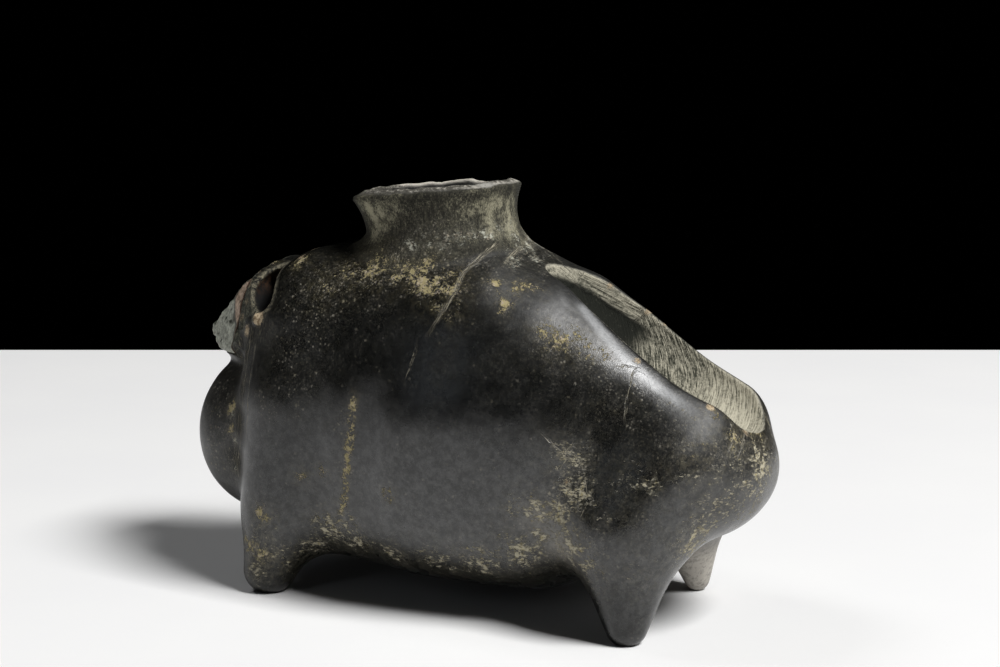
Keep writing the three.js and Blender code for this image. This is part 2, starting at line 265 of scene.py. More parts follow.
# Places with more of a finish than the rest: pixel across and down, reach in millimetres, strength.
PATCHES = {
    "ochre": (
        (400, 272, 3, 1.1), (418, 278, 4, 1.15), (434, 284, 4, 1.15), (448, 288, 4, 1.05),
        (428, 268, 3, 1.0), (440, 300, 3, 0.9), (450, 310, 3, 0.8), (456, 276, 3, 0.9),
        (493, 285, 2.2, 1.1), (518, 286, 3, 1.0), (536, 290, 2.5, 0.8), (505, 304, 1.6, 1.4),
        (504, 312, 1.3, 1.3), (376, 268, 5, 0.95), (350, 272, 5, 0.75), (330, 285, 5, 0.65),
        (560, 342, 3.5, 0.95), (572, 338, 3, 0.9), (585, 350, 3, 0.8), (602, 356, 2, 1.0),
        (545, 330, 3, 0.8), (694, 543, 4, 0.9), (250, 545, 3, 0.9), (262, 515, 2.5, 1.1),
        (247, 538, 2, 1.15), (262, 552, 3, 1.0), (302, 475, 2, 0.9), (322, 472, 2, 0.9),
        (388, 495, 2, 1.0), (233, 408, 2, 1.3), (232, 430, 1.6, 1.2), (735, 440, 3.5, 0.95),
        (755, 434, 3.5, 1.0), (716, 418, 3, 0.8), (768, 425, 3, 0.8), (700, 450, 4, 0.65),
        (272, 262, 2, 0.9), (300, 262, 3, 0.9),
    ),
    "streaky_dust": (
        (345, 520, 3, 1.0), (330, 528, 4, 1.05), (355, 540, 4, 0.95), (312, 545, 4, 0.85),
        (285, 560, 4, 0.75), (262, 540, 4, 0.75), (255, 570, 3, 0.85), (390, 552, 4, 0.8),
        (440, 562, 5, 0.85), (480, 562, 5, 0.95), (520, 552, 5, 1.0), (545, 540, 4, 1.05),
        (570, 545, 5, 1.0), (562, 515, 4, 1.0), (540, 512, 4, 0.9), (520, 508, 3.5, 0.85),
        (576, 490, 4, 0.95), (568, 460, 4, 0.85), (590, 570, 4, 0.85), (604, 520, 4, 0.6),
        (628, 480, 4, 0.7), (650, 482, 3, 0.75), (690, 480, 5, 0.6), (712, 512, 6, 0.85),
        (735, 485, 7, 0.8), (760, 465, 6, 0.95), (748, 505, 6, 0.85), (694, 543, 5, 1.05),
        (640, 570, 5, 0.5),
    ),
    "crust": (
        (254, 272, 1.3, 1.1), (251, 288, 1.2, 1.0), (250, 303, 1.2, 1.1), (266, 259, 1.4, 1.0),
        (322, 243, 1.4, 1.0), (492, 236, 1.6, 1.25), (234, 415, 1.8, 1.2), (235, 440, 1.5, 1.0),
        (236, 468, 1.6, 1.0), (428, 244, 2.5, 0.72), (445, 244, 2.5, 0.75), (462, 243, 2.5, 0.75),
        (420, 252, 2.5, 0.7), (500, 228, 3.5, 0.8), (512, 224, 3, 0.9), (424, 239, 2.2, 0.72),
        (436, 240, 2.2, 0.75), (448, 238, 2.2, 0.8), (460, 236, 2.2, 0.8), (470, 233, 2.2, 0.85),
        (440, 247, 2.2, 0.7), (410, 246, 2.5, 1.0), (528, 246, 2.5, 1.2), (516, 240, 2.5, 1.1),
        (484, 235, 1.8, 1.35), (477, 236, 1.6, 1.15), (530, 239, 3, 1.1), (540, 244, 3, 1.1),
        (520, 246, 3, 0.9), (510, 252, 3, 0.7), (548, 256, 3, 0.7),
    ),
    "dust": (
        (330, 285, 10, 0.9), (300, 300, 8, 0.9), (312, 330, 8, 0.8), (290, 350, 8, 0.7),
        (360, 275, 9, 0.9), (372, 300, 8, 0.5), (400, 262, 9, 0.8), (440, 243, 6, 1.2),
        (440, 262, 8, 0.9), (480, 272, 8, 0.7), (540, 250, 7, 0.9), (560, 340, 8, 0.9),
        (600, 360, 8, 0.8), (640, 400, 10, 0.7), (610, 390, 9, 0.6), (690, 430, 9, 0.7),
        (300, 380, 9, 0.5), (262, 400, 7, 0.6), (345, 535, 5, 1.2), (322, 550, 5, 1.1),
        (362, 540, 5, 1.0), (295, 568, 4, 0.9), (262, 545, 5, 0.8), (258, 575, 4, 0.9),
        (400, 557, 5, 0.7), (530, 550, 8, 1.0), (560, 520, 7, 1.0), (572, 480, 5, 1.0),
        (565, 560, 6, 1.1), (480, 565, 7, 0.9), (590, 545, 5, 0.9), (568, 500, 6, 1.3),
        (585, 460, 4, 1.0), (345, 420, 3, 0.9), (345, 470, 3, 0.9), (766, 455, 6, 1.2),
        (764, 488, 6, 1.0), (215, 400, 10, 1.2), (222, 450, 10, 1.2), (742, 440, 5, 1.3),
        (722, 445, 4, 1.0), (762, 436, 4, 1.1), (710, 470, 7, 0.6), (694, 543, 5, 1.0),
        (640, 520, 6, 0.6), (385, 300, 5, 0.5),
    ),
    # Pale dust. On the far rear leg it is also painted light, where lamp and table light the leg.
    "pale_dust_and_light": (
        (699, 570, 9, 1.2), (560, 545, 4, 0.35), (540, 520, 4, 0.25),
    ),
    "tan": (
        (243, 318, 2.4, 0.75), (247, 301, 2.0, 0.7), (251, 284, 2.0, 0.75), (257, 268, 2.0, 0.75),
        (258, 318, 1.9, 1.7), (247, 331, 2.2, 1.0), (567, 482, 1.0, 1.0), (314, 248, 1.6, 1.1),
        (301, 257, 1.6, 0.9), (710, 408, 1.3, 1.2), (637, 361, 1.2, 1.1), (610, 286, 1.4, 0.9),
        (648, 312, 1.4, 0.9), (665, 325, 1.2, 0.8), (745, 432, 1.6, 0.9),
    ),
    "striated": (
        (238, 352, 4, 1.2), (241, 343, 4, 1.2), (246, 352, 5, 1.0), (242, 385, 5, 1.0),
        (240, 420, 5, 1.0), (238, 460, 5, 0.9), (252, 335, 4, 1.0), (262, 330, 4, 0.7),
    ),
    "dark_wear": (
        (262, 575, 9, 1.0), (285, 572, 8, 1.0), (252, 545, 7, 0.6), (305, 555, 8, 1.0),
        (335, 545, 8, 1.0), (365, 552, 8, 1.0), (400, 562, 8, 1.0), (440, 572, 8, 1.0),
        (480, 580, 8, 1.0), (520, 580, 8, 1.0), (560, 568, 8, 0.9), (600, 600, 8, 0.5),
        (625, 635, 8, 0.5), (290, 420, 12, 0.45), (350, 400, 12, 0.45), (300, 470, 14, 0.3),
    ),
    "rubbed": (
        (520, 270, 11, 1.2), (545, 290, 12, 1.7), (575, 310, 9, 1.3), (612, 345, 8, 0.6),
        (645, 372, 8, 0.3), (680, 398, 7, 0.25), (705, 422, 8, 1.7), (735, 450, 8, 1.0),
        (480, 250, 8, 1.0), (220, 385, 9, 1.8), (212, 425, 9, 1.8), (222, 470, 9, 1.8),
    ),
    "neck_film": (
        (370, 210, 5, 1.3), (380, 215, 5, 1.15), (395, 208, 5, 0.7), (375, 228, 4, 1.0),
        (420, 205, 6, 0.35), (455, 212, 5, 0.6), (475, 205, 5, 0.8), (495, 208, 5, 1.0),
        (508, 212, 5, 1.1), (510, 228, 5, 1.0), (490, 225, 5, 0.9), (470, 230, 4, 0.7),
    ),
}


class Grain:
    """Smooth random values between -1 and 1 over a given length, the same on every run."""

    def __init__(self, seed, size=32):
        self.size = size
        table = np.random.RandomState(seed).uniform(-1, 1, (size, size, size))
        self.table = table.astype(np.float32)

    def __call__(self, x, y, z, length):
        place = [np.asarray(c, np.float32) / length for c in (x, y, z)]
        low = [np.floor(p).astype(np.int32) for p in place]
        part = [p - l for p, l in zip(place, low)]
        part = [p * p * (3 - 2 * p) for p in part]
        total = 0.0
        for corner in range(8):
            pick = [(corner >> axis) & 1 for axis in range(3)]
            index = tuple((low[axis] + pick[axis]) % self.size for axis in range(3))
            weight = 1.0
            for axis in range(3):
                weight = weight * (part[axis] if pick[axis] else 1 - part[axis])
            total = total + self.table[index] * weight
        return total


grinding = Grain(11)
fracture = Grain(23)
wear = Grain(37)


def smooth(value, low, high):
    """Rises smoothly from 0 at low to 1 at high."""
    t = np.clip((value - low) / (high - low), 0, 1)
    return t * t * (3 - 2 * t)


def ellipsoid(x, y, z, form):
    cx, cy, cz = form["centre"]
    rx, ry, rz = form["radii"]
    px, py, pz = (x - cx) / rx, (y - cy) / ry, (z - cz) / rz
    near = np.sqrt(px * px + py * py + pz * pz)
    slope = np.sqrt((px / rx) ** 2 + (py / ry) ** 2 + (pz / rz) ** 2)
    return near * (near - 1) / np.maximum(slope, 1e-6)


def limb(x, y, z, form):
    """The smooth skin over a ball at the top of a limb and another ball at its foot."""
    top, foot = np.array(form["top"], float), np.array(form["foot"], float)
    ra, rb = form["top_radius"], form["foot_radius"]
    axis = foot - top
    length2 = axis @ axis
    taper = ra - rb
    dx, dy, dz = x - top[0], y - top[1], z - top[2]
    along = dx * axis[0] + dy * axis[1] + dz * axis[2]
    past = along - length2
    across = [d * length2 - a * along for d, a in zip((dx, dy, dz), axis)]
    side2 = across[0] ** 2 + across[1] ** 2 + across[2] ** 2
    bound = math.copysign(1.0, taper) * taper * taper * side2
    cone = length2 - taper * taper
    skin = (np.sqrt(side2 * cone / length2) + along * taper) / length2 - ra
    at_top = np.sqrt(side2 + along**2 * length2) / length2 - ra
    at_foot = np.sqrt(side2 + past**2 * length2) / length2 - rb
    skin = np.where(np.sign(along) * cone * along**2 * length2 < bound, at_top, skin)
    return np.where(np.sign(past) * cone * past**2 * length2 > bound, at_foot, skin)


def rounded_box(x, y, z, form):
    sides = zip((x, y, z), form["centre"], form["half"])
    q = [np.abs(c - middle) - half + form["round"] for c, middle, half in sides]
    outside = np.sqrt(sum(np.maximum(c, 0) ** 2 for c in q))
    return outside + np.minimum(np.maximum(np.maximum(q[0], q[1]), q[2]), 0) - form["round"]


def sloped_box(x, y, z, form):
    """A rounded box laid along the slope of the back, with sides that spread below its top."""
    slope = math.radians(form["slope"])
    dx, dz = x - form["centre"][0], z - form["centre"][2]
    along = dx * math.cos(slope) - dz * math.sin(slope)
    out = dx * math.sin(slope) + dz * math.cos(slope)
    below_top = join((form["half"][2] - out) / form["spread_depth"], 1.0, form["spread_blend"])
    inwards = np.maximum(y - form["spread"] * np.maximum(below_top, 0), 0)
    return rounded_box(form["centre"][0] + along, inwards, form["centre"][2] + out, form)


def join(a, b, blend):
    h = np.maximum(blend - np.abs(a - b), 0) / blend
    return np.minimum(a, b) - h * h * blend / 4


def cut(a, b, blend):
    """Takes form b away from form a, with a worn edge of about the size blend."""
    return -join(-a, b, blend)


def beyond(x, y, z, point, facing):
    """A half space, negative on the side that its plane faces."""
    n = np.asarray(facing, float) / np.linalg.norm(facing)
    return -((x - point[0]) * n[0] + (y - point[1]) * n[1] + (z - point[2]) * n[2])


def rough(grain, x, y, z, name):
    """The bumps of a cut face."""
    height, length = ROUGHNESS[name]
    return height * grain(x, y, z, length)


def rough_break(x, y, z, point, facing):
    """A broken face: stepped by the stone's grain, negative on the side that was lost."""
    depth, length = ROUGHNESS["break"]
    share, shorter, away = SMALLER_STEPS
    step = fracture(x, y, z, length) + share * fracture(x + away, y, z, length / shorter)
    return beyond(x, y, z, point, facing) + depth * step


def neck_place(x, y, z):
    """Distance from the neck's axis, height over its base, and bearing round it."""
    dx, dz = x - NECK_BASE[0], z - NECK_BASE[2]
    across = dx * NECK_SIDE + dz * NECK_RISE
    height = -dx * NECK_RISE + dz * NECK_SIDE
    return np.hypot(across, y), height, np.arctan2(y, across)


def from_lip(x, y, z, radius, turn, height):
    """Distance out, along the lip and up from a place at the lip, which is given by its distance
    from the neck's axis, its bearing and its height over the neck's base."""
    ahead, side = math.cos(turn), math.sin(turn)
    across = radius * ahead
    along, up = across * NECK_SIDE - height * NECK_RISE, across * NECK_RISE + height * NECK_SIDE
    middle = NECK_BASE + np.array([along, radius * side, up])
    dx, dy, dz = x - middle[0], y - middle[1], z - middle[2]
    return dx * ahead + dy * side, -dx * side + dy * ahead, dz


def lip_height(bearing):
    """The lip leans less than the neck does, and is worn and nicked all round."""
    ripple = sum(height * np.sin(number * bearing + phase) for number, phase, height in LIP_RIPPLES)
    nicks = LIP_NICKS * fracture(3 * np.cos(bearing), 3 * np.sin(bearing), 0.5, 0.42)
    return NECK_HEIGHT + LIP_RISE - LIP_LEVELLING * np.cos(bearing) + ripple + nicks


def neck_outside(x, y, z):
    radius, height, bearing = neck_place(x, y, z)
    flare = np.maximum(height - WAIST_HEIGHT, 0) / (NECK_HEIGHT - WIDEST_BELOW_LIP - WAIST_HEIGHT)
    spread = np.maximum(WAIST_HEIGHT - np.maximum(height, 0), 0) / WAIST_HEIGHT
    wall = WAIST_RADIUS + (RIM_RADIUS - WAIST_RADIUS) * flare**FLARE_CURVE
    wall = wall + (NECK_FOOT_RADIUS - WAIST_RADIUS) * spread**2
    top = height - lip_height(bearing) + np.maximum(radius - LIP_FALL_RADIUS, 0) * LIP_FALL
    return -join(-(radius - wall), -np.maximum(top, -(height + NECK_SINK)), BLEND["lip"])


def neck_bore(x, y, z):
    """The round way in, which ends in the middle of the hollow."""
    radius, height, _ = neck_place(x, y, z)
    opening = smooth(height, THROAT_HEIGHT, NECK_HEIGHT - BORE_OPEN_BELOW_LIP)
    wall = THROAT_RADIUS + (MOUTH_RADIUS - THROAT_RADIUS) * opening
    wall = wall + MOUTH_BEVEL * smooth(height, *(NECK_HEIGHT + rise for rise in BEVEL_FROM_LIP))
    end = -(height + NECK_BASE[2] - HOLLOW["centre"][2])
    return np.maximum(radius - wall - rough(wear, x, y, z, "bore"), end)


def lip_flakes(x, y, z):
    """What flaked off the lip, as shallow shells laid on it."""
    shells = []
    for bearing, radius, length, width, depth in LIP_FLAKES:
        turn = math.radians(bearing)
        out, along, up = from_lip(x, y, z, radius, turn, lip_height(turn) + FLAKE_OVER_LIP)
        ring = (out / width) ** 2 + (2 * along / length) ** 2 + (up / (depth + FLAKE_HEIGHT)) ** 2
        shells.append((np.sqrt(ring) - 1) * depth + rough(fracture, x, y, z, "flake"))
    return functools.reduce(np.minimum, shells)


def lip_scar(x, y, z):
    """A flake scar with ripples that spread from one end."""
    turn = math.radians(SCAR["bearing"])
    out, along, up = from_lip(x, y, z, SCAR["radius"], turn, NECK_HEIGHT + SCAR["rise"])
    wide, long, deep = out / SCAR["width"], 2 * along / SCAR["length"], up / SCAR["depth"]
    ring = np.sqrt(wide**2 + long**2 + deep**2)
    from_end = np.hypot(along + SCAR["length"] / 2, up)
    ripple = SCAR_RIPPLE_HEIGHT * np.sin(2 * math.pi * from_end / SCAR_RIPPLE_LENGTH)
    return (ring - 1) * SCAR["width"] * SCAR_STEEPNESS + ripple


def scoop_place(x, y, z):
    """Distance along the scoop from its upper end, across it, and out of the back."""
    along = (SCOOP_END - SCOOP_START) / SCOOP_LENGTH
    dx, dz = x - SCOOP_START[0], z - SCOOP_START[2]
    return dx * along[0] + dz * along[2], y - SCOOP_START[1], -dx * along[2] + dz * along[0]


def scoop(x, y, z):
    """The hollow that was ground into the back: full at its lower end, drawn out at the other."""
    s, across, out = scoop_place(x, y, z)
    above = SCOOP_LENGTH * SCOOP_FULLEST
    reach = np.where(s < above, above, SCOOP_LENGTH * (1 - SCOOP_FULLEST))
    u = (s - above) / reach
    inside = np.sqrt(1 - np.minimum(np.abs(u), 0.9999) ** SCOOP_BLUNTNESS)
    ring = np.hypot(out / SCOOP_DEPTH, across / SCOOP_HALF_WIDTH)
    return (ring - inside) * SCOOP_DEPTH + np.maximum(np.abs(u) - 1, 0) * reach


def carved_form(x, y_either_side, z):
    """The whole outer form, before anything is cut into it."""
    y = np.abs(y_either_side)
    d = ellipsoid(x, y, z, FLANKS)
    for shape, form, blend in (
        (rounded_box, WITHERS, "body"),
        (rounded_box, BELLY, "body"),
        (rounded_box, CHEST, "body"),
        (sloped_box, HAUNCH, "haunch"),
        (ellipsoid, RUMP, "body"),
        (limb, FRONT_LEG, "leg"),
    ):
        d = join(d, shape(x, y, z, form), BLEND[blend])
    rear_leg = limb(x, y, z, REAR_LEG)
    thinner = limb(x, y, z, FAR_REAR_LEG) - rear_leg
    far_share = smooth(y_either_side, -HALF_WAY_OVER, HALF_WAY_OVER)
    d = join(d, rear_leg + thinner * far_share, BLEND["leg"])
    d = cut(d, limb(x, y, z, SHOULDER_VALLEY), BLEND["valley"])
    d = join(d, limb(x, y, z, NECK_ROOT), BLEND["neck"])
    d = join(d, ellipsoid(x, y, z, LOBE), BLEND["lobe"])
    d = join(d, ellipsoid(x, y, z, HEAD), BLEND["head"])
    return join(d, ellipsoid(x, y_either_side, z, KNOB), BLEND["knob"])


def uncut_form(x, y, z):
    """The body and the neck as they were polished, with the feet worn flat."""
    d = carved_form(x, y, z)
    for height, length in GRINDING_WAVES:
        d = d + height * grinding(x, y, z, length)
    return np.minimum(np.maximum(d, -z), neck_outside(x, y, z))


def ahead_of_crack(x, y, z):
    """The part of the head that came off in one piece."""
    return np.maximum(beyond(x, y, z, CRACK_POINT, CRACK_FACING), CRACK_LEDGE - z)


def lost_parts(x, y, z):
    """The parts that are missing from the head, each with a stepped broken face."""
    head_only = np.maximum(x - HEAD_REGION["rear"], HEAD_REGION["bottom"] - z)
    return [np.maximum(rough_break(x, y, z, *face), head_only) for face in BREAKS]


def perforation(x, z):
    cx, _, cz = PERFORATION["centre"]
    return np.hypot(x - cx, z - cz) - PERFORATION["radius"]


def stone_form(x, y, z):
    """The whole stone as it is now, without the piece of the head that was set back."""
    d = np.maximum(uncut_form(x, y, z), -ahead_of_crack(x, y, z))
    for lost in lost_parts(x, y, z):
        d = cut(d, lost, BLEND["break"])
    d = cut(d, scoop(x, y, z), BLEND["worn_edge"])
    d = cut(d, lip_flakes(x, y, z), BLEND["flake"])
    d = cut(d, lip_scar(x, y, z), BLEND["flake"])
    d = cut(d, ellipsoid(x, y, z, HOLLOW) + rough(wear, x, y, z, "hollow"), BLEND["hollow"])
    d = cut(d, neck_bore(x, y, z), BLEND["hollow"])
    return cut(d, perforation(x, z) + rough(fracture, x, y, z, "hole"), BLEND["worn_edge"])


def fragment_form(x, y, z):
    """The piece of the head in front of the old crack."""
    d = ellipsoid(x, y, z, HEAD) + rough(fracture, x, y, z, "head")
    d = np.maximum(d, beyond(x, y, z, CRACK_POINT + CRACK_FACING * CRACK_GAP, CRACK_FACING))
    d = np.maximum(d, CRACK_LEDGE + CRACK_GAP - z)
    for face in (*BREAKS, UNDERSIDE):
        d = cut(d, rough_break(x, y, z, *face), BLEND["break"])
    return d


def near_values(field, axes, count, cell, block=4):
    """The field on a grid, exact near its surface and only of the right sign elsewhere."""
    values = np.empty(count, np.float32)
    blocks = [np.arange(0, n, block) for n in count]
    middle = [a[0] + cell * (b + (block - 1) / 2) for a, b in zip(axes, blocks)]
    coarse = field(*np.meshgrid(*middle, indexing="ij"))
    for axis in range(3):
        coarse = np.repeat(coarse, block, axis)
    values[:] = coarse[tuple(slice(0, n) for n in count)]
    reach = STEEPEST_RISE * cell * block * math.sqrt(3) / 2 + cell
    close = np.argwhere(np.abs(values) < reach)
    for start in range(0, len(close), POINTS_AT_ONCE):
        i, j, k = close[start : start + POINTS_AT_ONCE].T
        values[i, j, k] = field(axes[0][i], axes[1][j], axes[2][k])
    return values


def mesh_field(field, low, high, cell):
    """Points and faces where the field is zero: one point in each grid cell that it crosses."""
    low = np.asarray(low, float)
    count = np.ceil((np.asarray(high, float) - low) / cell).astype(int) + 1
    axes = [(low[m] + cell * np.arange(count[m])).astype(np.float32) for m in range(3)]
    values = near_values(field, axes, count, cell)
    inside = values < 0
    cells = tuple(count - 1)
    total = np.zeros((*cells, 3), np.float32)
    crossings = np.zeros(cells, np.int32)
    edges = []
    for axis in range(3):
        first = tuple(slice(0, -1) if m == axis else slice(None) for m in range(3))
        second = tuple(slice(1, None) if m == axis else slice(None) for m in range(3))
        crossed = inside[first] != inside[second]
        a, b = values[first], values[second]
        with np.errstate(divide="ignore", invalid="ignore"):
            t = np.where(crossed, a / (a - b), 0).astype(np.float32)
        edges.append(crossed)
        others = [m for m in range(3) if m != axis]
        for corner in range(4):
            offset = {others[0]: corner & 1, others[1]: corner >> 1}
            window = [slice(None)] * 3
            for m in others:
                window[m] = slice(offset[m], offset[m] + cells[m])
            window = tuple(window)
            hit = crossed[window]
            crossings += hit
            total[..., axis] += t[window] * hit
            for m in others:
                total[..., m] += offset[m] * hit
    used = crossings > 0
    index = -np.ones(cells, np.int64)
    index[used] = np.arange(used.sum())
    points = low + cell * (np.argwhere(used) + total[used] / crossings[used][:, None])
    faces = []
    for axis in range(3):
        u, v = (axis + 1) % 3, (axis + 2) % 3
        here = np.argwhere(edges[axis])
        for side in (u, v):
            here = here[(here[:, side] > 0) & (here[:, side] < cells[side])]
        back_u, back_v = np.zeros(3, int), np.zeros(3, int)
        back_u[u], back_v[v] = 1, 1
        ring = [here - back_u - back_v, here - back_v, here, here - back_u]
        quads = np.stack([index[tuple(r.T)] for r in ring], 1)
        outward = inside[tuple(here.T)]
        faces.append(np.where(outward[:, None], quads, quads[:, ::-1]))
    return points, np.concatenate(faces)


def slope_of(field, points, h=0.05):
    """How steeply the field rises along X, Y and Z, from its values a little to each side."""
    steps = h * np.eye(3)
    rises = [field(*(points + step).T) - field(*(points - step).T) for step in steps]
    return np.stack(rises, 1) / (2 * h)


def facing_of(field, points):
    """The direction in which the surface faces at each point."""
    slope = slope_of(field, points)
    return slope / np.maximum(np.linalg.norm(slope, axis=1), 1e-6)[:, None]


def settle(field, points, cell, rounds=2):
    """Moves points along the slope of the field until they lie on its surface."""
    p = points.copy()
    longest = LONGEST_SETTLING * cell
    for _ in range(rounds):
        value = np.clip(field(*p.T), -longest, longest)
        slope = slope_of(field, p)
        p -= slope * (value / np.maximum((slope**2).sum(1), LEAST_SLOPE_SQUARED))[:, None]
    return p


def make_object(name, points, faces):
    """A mesh object in the frame, from points in millimetres."""
    mesh = bpy.data.meshes.new(name)
    mesh.from_pydata(((points + ORIGIN_SHIFT) * MM).tolist(), [], faces.tolist())
    mesh.update()
    piece = bpy.data.objects.new(name, mesh)
    bpy.context.scene.collection.objects.link(piece)
    return piece


def thin_out(piece, triangles):
    """Merges the flattest places until the piece has about the given number of triangles."""
    mesh = piece.data
    now = sum(len(p.vertices) - 2 for p in mesh.polygons)
    if now > triangles:
        thinner = piece.modifiers.new("thinner", "DECIMATE")
        thinner.ratio = triangles / now
        evaluated = piece.evaluated_get(bpy.context.evaluated_depsgraph_get())
        result = bpy.data.meshes.new_from_object(evaluated)
        piece.modifiers.remove(thinner)
        piece.data = result
        bpy.data.meshes.remove(mesh)
        result.name = piece.name


def carved_piece(name, field, space, cell, triangles):
    """A smooth closed mesh of one of the forms."""
    points, faces = mesh_field(field, *space, cell)
    piece = make_object(name, settle(field, points, cell), faces)
    thin_out(piece, triangles)
    piece.data.polygons.foreach_set("use_smooth", [True] * len(piece.data.polygons))
    piece.data.update()
    return piece


def points_of(piece):
    """The piece's own points, back in millimetres from the middle of the feet."""
    flat = np.empty(3 * len(piece.data.vertices), np.float32)
    piece.data.vertices.foreach_get("co", flat)
    return flat.reshape(-1, 3) / MM - ORIGIN_SHIFT


def photograph_axes():
    """The photograph's right, up and ahead."""
    a, e = math.radians(CAMERA_AZIMUTH), math.radians(CAMERA_PITCH)
    back = np.array([math.sin(a) * math.cos(e), -math.cos(a) * math.cos(e), math.sin(e)])
    right = np.array([math.cos(a), math.sin(a), 0.0])
    return right, np.cross(back, right), -back


def seen_at(pixels):
    """The places on the stone that the photograph shows at some pixels."""
    right, up, ahead = photograph_axes()
    pixels = np.asarray(pixels, float)
    across = (pixels[:, 0] - FRAME_WIDTH / 2) / CAMERA_FOCAL_PIXELS
    down = (pixels[:, 1] - FRAME_HEIGHT / 2) / CAMERA_FOCAL_PIXELS
    rays = ahead + across[:, None] * right - down[:, None] * up
    reach = np.arange(*SIGHT_STEPS)
    path = CAMERA_PLACE + reach[:, None, None] * rays
    values = stone_form(path[..., 0], path[..., 1], path[..., 2])
    first = np.argmax(values < 0, 0)
    nearest = np.argmin(values, 0)
    first = np.where((values < 0).any(0), first, nearest)
    return path[first, np.arange(len(pixels))]


def store(piece, marks):
    """Keeps one value, or one place, for each point of a piece, for the materials to read."""
    for name, values in marks.items():
        kind, key = ("FLOAT", "value") if values.ndim == 1 else ("FLOAT_VECTOR", "vector")
        attribute = piece.data.attributes.new(name, kind, "POINT")
        attribute.data.foreach_set(key, np.ascontiguousarray(values, np.float32).ravel())


def patch_strength(points, name, patches):
    """How strongly a patchy finish lies on each point, of the hidden far side too for some."""
    wider = WIDER_PATCHES.get(name, 1.0)
    centres = seen_at([patch[:2] for patch in patches])
    strength = np.zeros(len(points))
    for centre, (_, _, reach, height) in zip(centres, patches):
        places = [(centre, height)]
        if name in FAR_SIDE_FINISHES:
            mirrored = centre * (1, -1, 1) + FAR_SIDE_SHIFT
            places.append((mirrored, FAR_SIDE_STRENGTH * height))
        for place, middle in places:
            near = np.sum((points - place) ** 2, 1) / (wider * reach) ** 2
            strength = np.maximum(strength, middle * np.exp(-near))
    return strength


def mark_lines(points, normals, lines):
    """For each point: how far beside the nearest line it is, how far along, and how near."""
    best = np.full(len(points), 1e9)
    result = np.zeros((len(points), 3))
    for line in lines:
        corners = seen_at(line)
        total = np.linalg.norm(np.diff(corners, axis=0), axis=1).sum()
        walked = 0.0
        for start, end in zip(corners[:-1], corners[1:]):
            length = np.linalg.norm(end - start)
            axis = (end - start) / length
            held = np.clip((points - start) @ axis, 0, length)
            beside = points - start - held[:, None] * axis
            gap = np.linalg.norm(beside, axis=1)
            side = np.sign(np.sum(np.cross(normals, axis) * beside, 1))
            along = walked + held
            fading = smooth(along, *LINE_STARTS_OVER)
            fading = fading * smooth(total - along, -0.5, LINE_TAIL * total)
            closer = gap < best
            best = np.where(closer, gap, best)
            result[closer] = np.stack([side * gap, along, fading], 1)[closer]
            walked += length
    result[:, 2] *= 1 - smooth(best, *LINE_ENDS_BESIDE)
    return result


